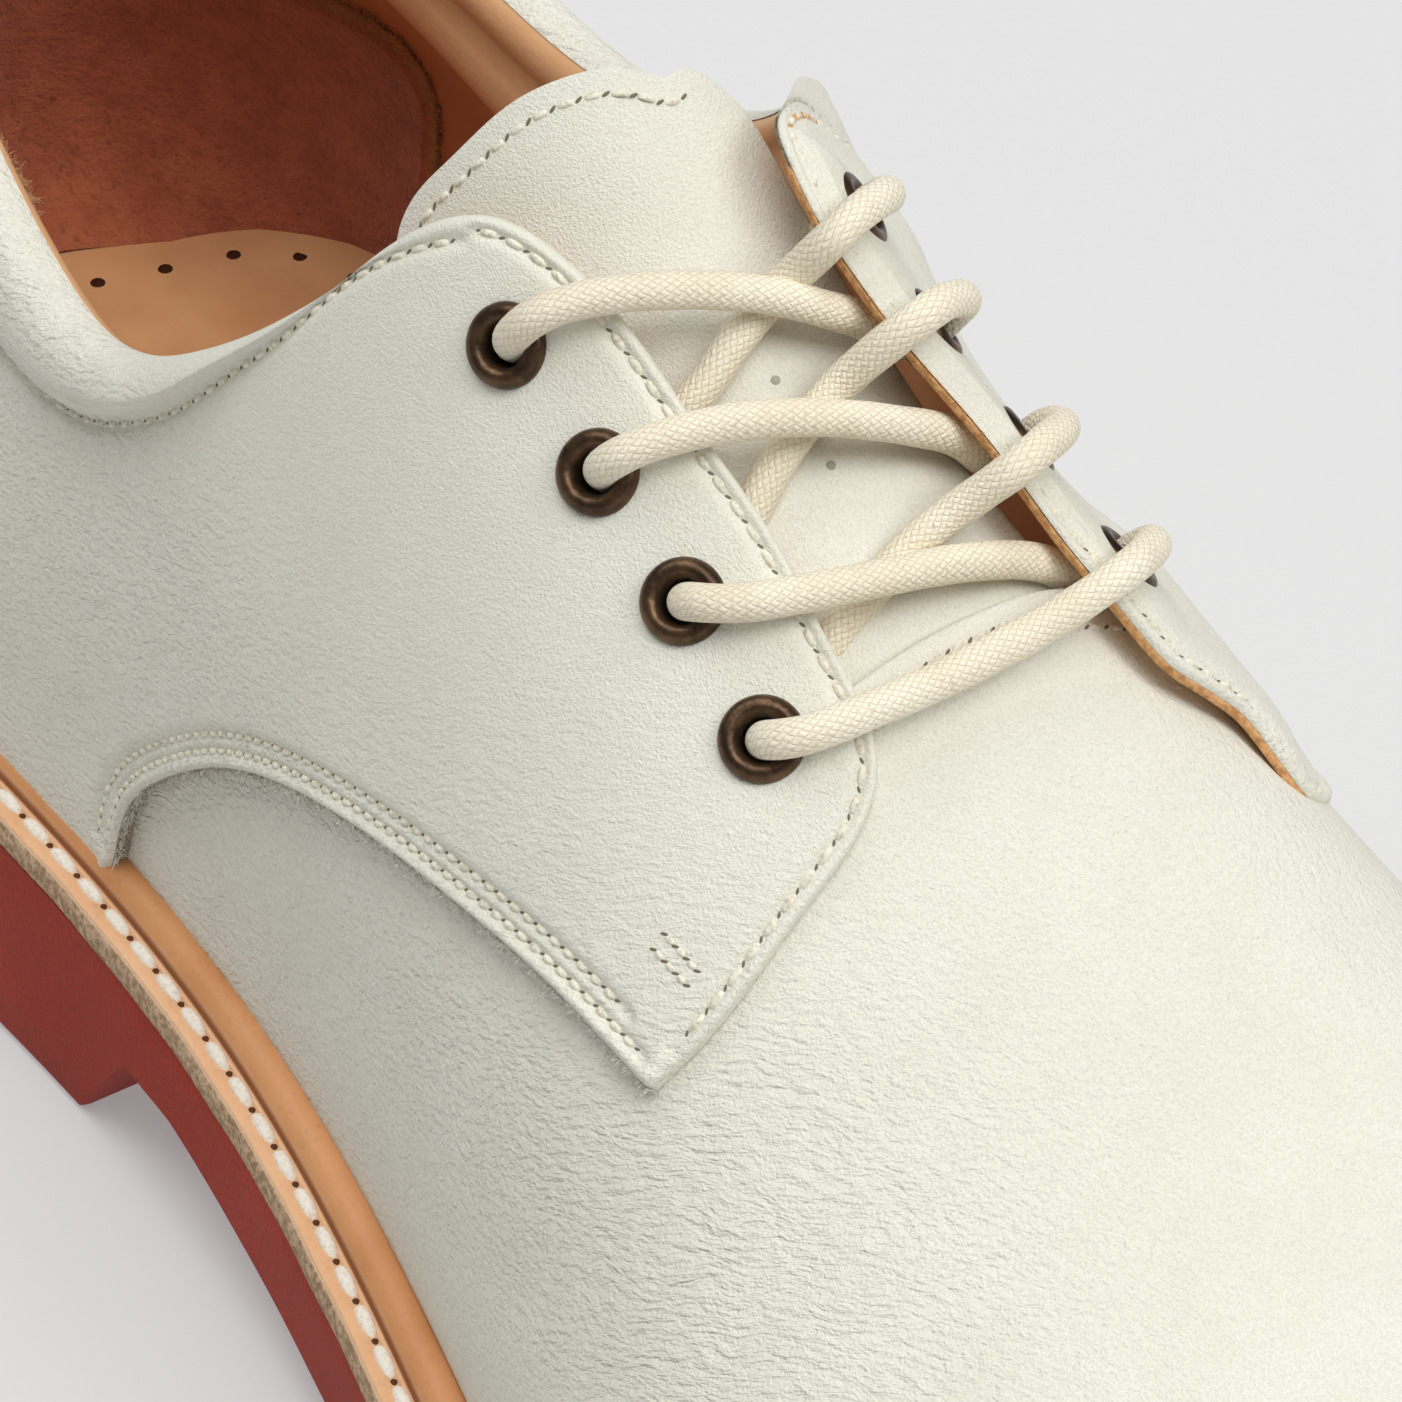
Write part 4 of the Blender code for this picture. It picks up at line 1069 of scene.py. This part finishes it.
def welt_finish():
    """Tan strip leather: a burnished bead, a satin flat and a fibrous cut edge, told apart by two marks."""
    material, shader, dye = new_finish("welt_leather", {"Specular IOR Level": 0.4})
    place = dye.object_place()
    out = dye.mark("out")
    down = dye.mark("down")
    fine = dye.noise(place, 1700.0, 3.0, 0.65)
    fibre = dye.noise(place, 1500.0, 3.0, 0.7)
    cloud = dye.noise(place, 60.0, 3.0, 0.6)
    flat = dye.blend(cloud.fade(0.3, 0.75), colour(226, 172, 126), colour(238, 190, 148))
    bead = dye.blend(cloud.fade(0.3, 0.7), colour(204, 140, 88), colour(222, 160, 108))
    # Painted shade: the bead darkens next to the upper, where it tucks under the leather.
    bead_painted_shade = dye.blend(out.fade(-0.4, 0.6), colour(150, 92, 54), bead)
    top = dye.blend(out.fade(2.9, 3.3), bead_painted_shade, flat)
    # Painted shade: a dark band in the groove between the bead and the flat.
    crease = dye.blend(out.fade(3.0, 3.2) - out.fade(3.3, 3.5), top, colour(140, 84, 48))
    edge = dye.blend(fibre.fade(0.35, 0.65), colour(154, 124, 94), colour(208, 178, 146))
    # Painted highlight: the top corner of the cut edge is lighter than the rest of the edge.
    lit = dye.blend(down.fade(0.5, 0.72), colour(232, 196, 160), edge)
    cut = down.fade(0.4, 0.55)
    spotted = dye.blend(fine.fade(0.2, 0.5), dye.blend(0.2, crease, colour(150, 96, 58)), crease)
    wire(shader, Base_Color=dye.blend(cut, spotted, lit), Roughness=cut * 0.4 + fine * 0.15 + 0.42,
         Normal=dye.bump(fine * (0.15 + cut * 0.4) + fibre * cut, 0.0004))
    return material


loop_flare = WELT_FLARE * np.interp(loop_foot, *WAIST_FLARE.T) * (loop_u < TIP_U)
welt_rows = np.stack([loop_line(out + loop_flare, loop_z + height) for out, height in WELT_SECTION])
welt_wave = 0.03 * np.sin(loop_u * 210.0) + 0.03 * np.sin(loop_u * 377.0 + 1.0)
welt_rows[17:23, :, :2] += (loop_out * welt_wave[:, None])[None]
welt_marks = {"out": np.repeat(WELT_SECTION[:, 0], LOOP_COLUMNS),
              "down": np.repeat(-WELT_SECTION[:, 1], LOOP_COLUMNS)}
make("welt_strip", [grid(welt_rows, ring=True, flip=True)], welt_finish(), ["welt"],
     welt_marks)


# Outsole. One moulding of brick-red rubber: heel, slanted breast, arch and forefoot, with a matt skin.
SOLE_TOP_OUT = 6.0
SOLE_FOOT_OUT = 5.9
# How much more than the welt the sole stands out at its foot
SOLE_FLARE = 1.7
WELT_THICK = 2.9
# Tread line from the side. Columns: foot x, height
TREAD = np.array([
    (6.5, 0.0), (88.4, 0.0), (97.0, 11.2), (105.0, 10.9), (117.0, 8.0), (132.0, 5.0), (148.0, 2.6),
    (165.0, 0.9), (184.0, 0.0), (218.0, 0.0), (241.0, 1.4), (262.0, 3.9), (279.0, 6.3), (293.5, 8.8),
])


def rubber_finish():
    """Brick-red rubber with a fine spark-eroded texture and a faint bloom."""
    material, shader, dye = new_finish("brick_rubber", {"Specular IOR Level": 0.2})
    place = dye.object_place()
    fine = dye.noise(place, 2600.0, 2.0, 0.6)
    bloom = dye.noise(place, 50.0, 3.0, 0.6)
    tone = dye.blend(bloom.fade(0.3, 0.75), colour(158, 50, 33), colour(174, 61, 43))
    speck = dye.blend(fine.fade(0.25, 0.6), colour(134, 42, 28), tone)
    wire(shader, Base_Color=speck, Roughness=fine * 0.2 + 0.55, Normal=dye.bump(fine, 0.0001))
    return material


tread = np.interp(loop_foot, TREAD[:, 0], TREAD[:, 1])
sole_top = loop_z - WELT_THICK - 0.1
# Columns: outward, share of the side's height from the tread
SOLE_SIDE = ((SOLE_FOOT_OUT - 0.9, 0.0), (SOLE_FOOT_OUT - 0.35, 0.012), (SOLE_FOOT_OUT, 0.05),
             (SOLE_FOOT_OUT + 0.05, 0.3), (SOLE_FOOT_OUT + 0.15, 0.6), (SOLE_FOOT_OUT + 0.3, 0.85),
             (SOLE_TOP_OUT, 0.985), (SOLE_TOP_OUT - 0.3, 1.0), (SOLE_TOP_OUT - 4.0, 1.0))
sole_rows = np.stack([loop_line(out + loop_flare * (1 + SOLE_FLARE * (1 - share)),
                                tread + (sole_top - tread) * share) for out, share in SOLE_SIDE])
sole = make("sole_unit", [grid(sole_rows, ring=True), grid(across_lid(sole_rows[0]), flip=True),
                          grid(across_lid(sole_rows[-1]))], rubber_finish(), ["outsole"])
sole.data.set_sharp_from_angle(angle=math.radians(32))


# Eyelets. Brass rings, blackened, pressed through the facings.
# Section. Columns: radius, height over the leather
EYELET_SECTION = np.array([
    (1.55, -2.6), (1.58, -0.6), (1.62, 0.25), (1.72, 0.62), (1.92, 0.92), (2.2, 1.08), (2.5, 1.1),
    (2.8, 1.0), (3.05, 0.78), (3.2, 0.5), (3.25, 0.2), (3.2, -0.15), (3.0, -0.4),
])
# How deep the rings are pressed into the leather
EYELET_SUNK = {OUTER: 0.1, INNER: 0.8}


def brass_finish():
    """Antique brass: dark brown metal, a little brighter in soft clouds."""
    material, shader, dye = new_finish("antique_brass", {"Metallic": 0.85})
    place = dye.object_place()
    cloud = dye.noise(place, 500.0, 3.0, 0.6)
    scratch = dye.noise(place, 3000.0, 2.0, 0.5)
    wire(shader, Base_Color=dye.blend(cloud.fade(0.3, 0.75), colour(66, 50, 38), colour(108, 84, 62)),
         Roughness=scratch * 0.25 + 0.24, Normal=dye.bump(scratch, 0.00003))
    return material


antique_brass = brass_finish()
spin = np.linspace(0.0, 2 * math.pi, 40, endpoint=False)
eye_places = {}
for side, panel in quarters.items():
    for number, (foot_x, rise) in enumerate(EYELETS[side], 1):
        place, out = panel.place(np.array([[foot_x, rise]]))
        first = unit(np.cross(out[0], np.array([0.0, 0.0, 1.0])))
        second = np.cross(out[0], first)
        spoke = first * np.cos(spin)[:, None] + second * np.sin(spin)[:, None]
        height = EYELET_SECTION[:, None, 1:] - EYELET_SUNK[side]
        ring = place[0] + EYELET_SECTION[:, None, :1] * spoke + height * out[0]
        eye_places[side, number] = place[0]
        name = "eyelet_%s_%d" % ("outer" if side == OUTER else "inner", number)
        make(name + "_ring", [grid(ring, ring=True, flip=True)], antique_brass, [name])


# Lace. One round cream cotton braid, 2.8 mm thick, crossed through the eyelets: every strand leaves an eyelet
# on the outside and passes under the other facing. Its two ends stop inside the top eyelets.
LACE_RADIUS = 1.42
# Route. Columns: side, foot x, rise, height over the last
LACE_ROUTE = (
    (OUTER, 119.5, 0.628, -4.5), (OUTER, 120.0, 0.645, -1.5), (OUTER, 120.0, 0.652, 1.4),
    (OUTER, 120.4, 0.675, 3.4), (OUTER, 121.1, 0.713, 4.3), (OUTER, 122.5, 0.766, 3.7),
    (OUTER, 124.3, 0.827, 3.0), (OUTER, 126.0, 0.889, 2.2), (OUTER, 127.6, 0.957, 1.4),
    (INNER, 129.5, 0.977, 0.4), (INNER, 132.0, 0.892, -0.9), (INNER, 133.4, 0.840, -1.3),
    (INNER, 133.6, 0.815, 0.4), (INNER, 133.5, 0.817, 3.2), (INNER, 133.6, 0.835, 4.9),
    (INNER, 133.7, 0.883, 5.9), (INNER, 134.1, 0.936, 6.1), (INNER, 134.3, 0.972, 3.2),
    (OUTER, 134.9, 0.985, -0.3), (OUTER, 137.2, 0.913, -1.4), (OUTER, 139.7, 0.835, -1.9),
    (OUTER, 142.2, 0.755, -2.4), (OUTER, 143.0, 0.712, -1.4), (OUTER, 143.1, 0.706, 1.4),
    (OUTER, 144.0, 0.718, 3.5), (OUTER, 146.0, 0.750, 4.2), (OUTER, 148.4, 0.814, 3.5),
    (OUTER, 150.2, 0.886, 2.6), (OUTER, 151.5, 0.966, 1.6), (INNER, 152.7, 0.951, 0.6),
    (INNER, 153.6, 0.856, -0.5), (INNER, 154.0, 0.790, -1.2), (INNER, 154.0, 0.765, 0.4),
    (INNER, 154.0, 0.762, 3.2), (INNER, 154.6, 0.775, 4.9), (INNER, 156.1, 0.820, 5.9),
    (INNER, 157.6, 0.878, 6.0), (INNER, 158.9, 0.956, 3.8), (OUTER, 159.4, 0.970, 2.8),
    (OUTER, 159.1, 0.890, 2.7), (OUTER, 158.0, 0.814, 3.6), (OUTER, 156.6, 0.755, 4.2),
    (OUTER, 155.2, 0.728, 3.2), (OUTER, 154.6, 0.721, 1.2), (OUTER, 154.3, 0.724, -1.6),
    (OUTER, 153.2, 0.775, -2.5), (OUTER, 151.1, 0.866, -2.0), (OUTER, 150.1, 0.915, -1.4),
    (OUTER, 148.7, 0.973, -0.2), (INNER, 147.8, 0.963, 2.4), (INNER, 147.4, 0.922, 6.0),
    (INNER, 146.1, 0.856, 5.9), (INNER, 144.6, 0.800, 4.9), (INNER, 143.5, 0.782, 3.2),
    (INNER, 143.5, 0.785, 0.4), (INNER, 143.4, 0.810, -1.3), (INNER, 143.2, 0.840, -0.9),
    (INNER, 142.4, 0.885, 0.0), (INNER, 139.9, 0.982, 1.0), (OUTER, 137.8, 0.935, 2.0),
    (OUTER, 135.9, 0.860, 2.8), (OUTER, 134.1, 0.788, 3.6), (OUTER, 132.7, 0.727, 4.2),
    (OUTER, 131.9, 0.695, 3.0), (OUTER, 131.5, 0.682, 1.0), (OUTER, 131.5, 0.688, -1.6),
    (OUTER, 131.4, 0.745, -2.5), (OUTER, 131.1, 0.816, -2.0), (OUTER, 129.6, 0.877, -1.6),
    (OUTER, 127.3, 0.951, -1.0), (INNER, 125.5, 0.998, 2.0), (INNER, 125.3, 0.974, 5.4),
    (INNER, 124.9, 0.933, 6.0), (INNER, 124.5, 0.870, 5.2), (INNER, 124.0, 0.840, 3.4),
    (INNER, 124.0, 0.838, 0.6), (INNER, 123.6, 0.820, -3.5),
)
LACE_RINGS = 1700
LACE_SIDES = 28
BRAID_STRANDS = 14.0
BRAID_CELL = 0.82


def cotton_finish():
    """Cotton braid: two families of threads cross on the lace's own UV, with loose fibres over them."""
    material, shader, dye = new_finish("braided_cotton", {"Specular IOR Level": 0.3, "Sheen Weight": 0.2,
                                                          "Sheen Roughness": 0.4})
    place = dye.object_place()
    uv = dye.node("UVMap", {"uv_map": "UVMap"})
    round_part = dye.node("SeparateXYZ", None, {"Vector": uv}, out="X")
    along_part = dye.node("SeparateXYZ", None, {"Vector": uv}, out="Y")
    right_hand = dye.math("SINE", (round_part * BRAID_STRANDS + along_part) * math.pi)
    left_hand = dye.math("SINE", (round_part * BRAID_STRANDS - along_part) * math.pi)
    over = (right_hand * left_hand).fade(-0.2, 0.2)
    right_ridge = dye.math("ABSOLUTE", right_hand)
    left_ridge = dye.math("ABSOLUTE", left_hand)
    braid = right_ridge * over + left_ridge * (1 - over)
    fluff = dye.noise(place, 2300.0, 3.0, 0.7)
    stain = dye.noise(place, 120.0, 3.0, 0.6)
    clean = dye.blend(stain.fade(0.3, 0.75), colour(240, 230, 206), colour(250, 243, 222))
    # Painted shade: the valleys between the braid's threads are darker.
    valley_painted_shade = dye.blend(braid.fade(0.05, 0.45), colour(220, 205, 172), clean)
    speck = dye.blend(fluff.fade(0.28, 0.5), dye.blend(0.25, valley_painted_shade, colour(176, 158, 120)), valley_painted_shade)
    wire(shader, Base_Color=speck, Roughness=fluff * 0.2 + 0.7,
         Normal=dye.bump(braid * 0.38 + fluff * 0.5, 0.00022))
    return material


route = np.array(LACE_ROUTE)
route_u = np.where(route[:, 0] == OUTER, foot_u(OUTER, route[:, 1]), foot_u(INNER, route[:, 1]))
route_points = skin(route_u, route[:, 2], route[:, 3])
steps = np.linalg.norm(np.diff(route_points, axis=0), axis=1)
lace_curve = spline(np.concatenate([[0.0], np.cumsum(steps**0.6)]), route_points)
fine = lace_curve(np.linspace(0.0, (steps**0.6).sum(), 6 * LACE_RINGS))
run = run_along(fine)
even = np.linspace(0.0, run[-1], LACE_RINGS)
lace_line = sample(even, run, fine)
lace_along = unit(np.gradient(lace_line, axis=0))
lace_side = unit(np.cross(lace_along, np.array([1.0, 0.0, 0.0])))
lace_top = np.cross(lace_side, lace_along)
turn = np.linspace(0.0, 2 * math.pi, LACE_SIDES + 1)
braid_place = even / BRAID_CELL
end_round = np.sqrt(np.clip(np.minimum(even, run[-1] - even) / 1.2, 0.0, 1.0))
uneven = 1 + 0.02 * np.sin(even * 0.35) + 0.012 * np.sin(even * 1.3)
thick = LACE_RADIUS * np.maximum(end_round, 0.02) * uneven
thick = np.broadcast_to(thick[:, None], (LACE_RINGS, LACE_SIDES + 1))
lace_tube = (lace_line[:, None] + lace_side[:, None] * (thick * np.cos(turn))[..., None]
             + lace_top[:, None] * (thick * np.sin(turn))[..., None])
lace_uv = np.stack(np.broadcast_arrays(turn / (2 * math.pi), braid_place[:, None]), axis=-1).reshape(-1, 2)
make("lace_braid", [grid(lace_tube, flip=True)], cotton_finish(), ["lace"], uv=lace_uv)


# Stitches. Cream thread along the collar, the facings, the lapped edges, the tongue and the throat.
# Each stitch is a short plump loop between two needle holes, drawn as slanted dots of painted shade.
def thread_finish(name, light, ply_shade):
    """Twisted thread: its own colour on top of the plies, with painted shade where the plies meet."""
    material, shader, dye = new_finish(name, {"Specular IOR Level": 0.3, "Sheen Weight": 0.15})
    ply = dye.noise(dye.object_place(), 2600.0, 2.0, 0.6)
    wire(shader, Base_Color=dye.blend(ply.fade(0.25, 0.6), ply_shade, light), Roughness=ply * 0.2 + 0.65,
         Normal=dye.bump(ply, 0.00008))
    return material


def stitches(line, out, pitch, length, width, tall, bury, slant=0.0):
    """Loops along a chain: each is a half-round bar whose ends dip to the needle holes.

    The second result is the needle holes: places, vectors out of the leather, and slanting directions.
    """
    run = run_along(line)
    count = int(run[-1] / pitch)
    centre_at = (np.arange(count) + 0.5) * pitch
    along_share = np.linspace(-1.0, 1.0, 9)
    at = centre_at[:, None] + along_share * length / 2
    spine = sample(at, run, line)
    up = unit(sample(at, run, out))
    ahead = unit(np.gradient(spine, axis=1))
    sideways = np.cross(up, ahead)
    arch = np.sqrt(np.clip(1 - along_share**2, 0.0, 1.0))
    angle = np.linspace(-0.25, math.pi + 0.25, 8)
    swell = (0.35 + 0.65 * arch)[None, :, None]
    flat = np.cos(angle) * width / 2 * swell
    high = np.sin(angle) * tall * arch[None, :, None] - bury * (1 - arch)[None, :, None]
    points = spine[:, :, None] + sideways[:, :, None] * flat[..., None] + up[:, :, None] * high[..., None]
    one = grid_faces(9, 8)
    faces = (one[None] + 72 * np.arange(count)[:, None, None]).reshape(-1, 4)
    hole_at = np.arange(count + 1) * pitch
    holes = sample(hole_at, run, line)
    hole_out = unit(sample(hole_at, run, out))
    onward = unit(np.gradient(holes, axis=0))
    slit = onward * math.cos(slant) + np.cross(hole_out, onward) * math.sin(slant)
    return (points.reshape(-1, 3), faces), (holes, hole_out, slit)


fine_thread = thread_finish("cream_thread", colour(236, 231, 214), colour(196, 188, 165))
# Needle holes: flat dots in a painted shade.
needle_hole_shade = dark_finish("needle_hole_shade", colour(122, 113, 94))
# Columns: row, pitch, length, width, height of one stitch
ROW_STITCH = {
    "collar": (2.05, 1.6, 0.6, 0.34), "facing": (2.15, 1.75, 0.62, 0.36), "lap_1": (1.6, 1.3, 0.62, 0.36),
    "lap_2": (1.6, 1.3, 0.62, 0.36), "tack": (1.25, 0.95, 0.45, 0.2), "tongue": (2.05, 1.5, 0.5, 0.2),
    "throat": (2.0, 1.5, 0.5, 0.2),
}
TONGUE_ROW_IN = 1.9
NEEDLE_RADIUS = 0.14
NEEDLE_STRETCH = 2.6
NEEDLE_SLANT = math.radians(32)
# Short double row that holds the outer quarter's tip. Columns: foot x, rise
TACKS = (((158.5, 0.556), (163.4, 0.576)), ((158.5, 0.540), (163.6, 0.562)))
sewn = []
pricked = []
for side, rows in quarter_rows.items():
    for name, chart in rows.items():
        sewn.append((ROW_STITCH[name], *quarters[side].place(chart)))
for ends in TACKS:
    sewn.append((ROW_STITCH["tack"], *quarters[OUTER].place(along_line(OUTER, ends, 30)[0])))
edge_line, edge_out = tongue_points(np.linspace(-0.455, 0.06, 200), np.ones(200))
edge_in = unit(np.cross(np.gradient(edge_line, axis=0), edge_out))
sewn.append((ROW_STITCH["tongue"], edge_line + edge_in * TONGUE_ROW_IN, edge_out))
for ahead in (1.5, 3.2):
    throat_feet = np.full(60, THROAT_FOOT + ahead)
    throat_u = np.concatenate([foot_u(OUTER, throat_feet), foot_u(INNER, throat_feet)])
    throat_rise = np.concatenate([np.linspace(0.74, 1.0, 60), np.linspace(1.0, 0.80, 60)])
    sewn.append((ROW_STITCH["throat"], wall(throat_u, throat_rise), wall_out(throat_u, throat_rise)))
thread_parts = []
for (pitch, length, width, tall), line, out in sewn:
    loops, (holes, hole_out, slit) = stitches(line, out, pitch, length, width, tall, 0.2, NEEDLE_SLANT)
    thread_parts.append(loops)
    pricked.append(dots(holes + hole_out * 0.05, hole_out, NEEDLE_RADIUS, slit, NEEDLE_STRETCH))
make("upper_stitches", thread_parts, fine_thread, weld=False)
make("needle_hole_shade_dots", pricked, needle_hole_shade, weld=False)

# Welt stitches: thick white thread in the welt's channel, one every 4.2 mm all round
WELT_PITCH = 4.23
welt_thread = thread_finish("white_thread", colour(246, 240, 228), colour(228, 217, 198))
channel_out = WELT_STITCH_OUT + np.interp(SCAN, np.append(loop_u, 1.0), np.append(loop_flare, 0.0))
channel = feather(SCAN) + feather_out(SCAN) * channel_out[:, None]
channel_z = last_at(np.interp(SCAN, np.append(loop_u, 1.0), np.append(loop_foot, HEEL_X)))[:, 0] - 0.5
channel = np.column_stack([channel, channel_z])
channel_up = np.broadcast_to(np.array([0.0, 0.0, 1.0]), channel.shape)
channel_run = np.linalg.norm(np.diff(channel, axis=0), axis=1).sum()
pitch = channel_run / round(channel_run / WELT_PITCH)
loops, (holes, hole_out, _) = stitches(channel, channel_up, pitch, 3.5, 1.3, 0.6, 0.15)
make("welt_stitches", [loops], welt_thread, weld=False)
# Awl holes between the welt stitches: flat dots in a painted shade.
awl_hole_shade = dark_finish("awl_hole_shade", colour(96, 58, 34))
make("welt_hole_shade_dots", [dots(holes + hole_out * 0.06, hole_out, 0.4)], awl_hole_shade, weld=False)


# Stage. A pale grey floor, a soft dome of light and three broad suns, seen by a long lens.
FLOOR_HALF = 4.0
floor_mesh = bpy.data.meshes.new("floor")
floor_corners = [(x * FLOOR_HALF, y * FLOOR_HALF, 0.0) for x, y in ((-1, -1), (1, -1), (1, 1), (-1, 1))]
floor_mesh.from_pydata(floor_corners, [], [(0, 1, 2, 3)])
floor_finish, floor_shader = new_finish("pale_floor", {"Roughness": 0.9, "Specular IOR Level": 0.0})[:2]
floor_shader.inputs["Base Color"].default_value = colour(180, 180, 180)
floor_shader.inputs["Emission Color"].default_value = (1.0, 1.0, 1.0, 1.0)
floor_shader.inputs["Emission Strength"].default_value = 0.26
floor_mesh.materials.append(floor_finish)
floor = bpy.data.objects.new("floor", floor_mesh)
bpy.context.scene.collection.objects.link(floor)

world = bpy.data.worlds.new("studio")
world.use_nodes = True
world.node_tree.nodes["Background"].inputs["Color"].default_value = (1.0, 1.0, 1.0, 1.0)
world.node_tree.nodes["Background"].inputs["Strength"].default_value = 0.18
bpy.context.scene.world = world
bpy.context.scene.view_settings.view_transform = "Standard"


def towards(azimuth, elevation):
    """Unit vector at an azimuth, from the outer side towards the toe, and an elevation, in degrees."""
    a = math.radians(azimuth)
    e = math.radians(elevation)
    return np.array([math.sin(a) * math.cos(e), -math.cos(a) * math.cos(e), math.sin(e)])


def sun(name, azimuth, elevation, strength, softness):
    """Distant soft light that shines from an azimuth and elevation, in degrees."""
    light = bpy.data.lights.new(name, "SUN")
    light.energy = strength
    light.angle = math.radians(softness)
    lamp = bpy.data.objects.new(name, light)
    back = towards(azimuth, elevation)
    right = unit(np.cross(np.array([0.0, 0.0, 1.0]), back))
    up = np.cross(back, right)
    lamp.matrix_world = Matrix(np.column_stack([right, up, back]).tolist()).to_4x4()
    bpy.context.scene.collection.objects.link(lamp)


sun("high", 70.0, 68.0, 1.38, 36.0)
sun("heel_side", 300.0, 65.0, 0.95, 40.0)
sun("right", 118.0, 45.0, 1.25, 30.0)

CAMERA_AZIMUTH = 54.523
CAMERA_ELEVATION = 39.166
CAMERA_ROLL = 1.335
CAMERA_DISTANCE = 458.56
CAMERA_FIELD = 12.398
CAMERA_TARGET = np.array([153.071, -20.518, 80.706])
azimuth = math.radians(CAMERA_AZIMUTH)
roll = math.radians(CAMERA_ROLL)
back = towards(CAMERA_AZIMUTH, CAMERA_ELEVATION)
level = np.array([math.cos(azimuth), math.sin(azimuth), 0.0])
upright = np.cross(back, level)
right = math.cos(roll) * level + math.sin(roll) * upright
up = math.cos(roll) * upright - math.sin(roll) * level
lens = bpy.data.cameras.new("camera")
lens.angle = math.radians(CAMERA_FIELD)
lens.clip_start = 0.01
camera = bpy.data.objects.new("camera", lens)
camera.matrix_world = (Matrix.Translation(((CAMERA_TARGET + back * CAMERA_DISTANCE - CENTRE) * MM).tolist())
                       @ Matrix(np.column_stack([right, up, back]).tolist()).to_4x4())
bpy.context.scene.collection.objects.link(camera)
bpy.context.scene.camera = camera
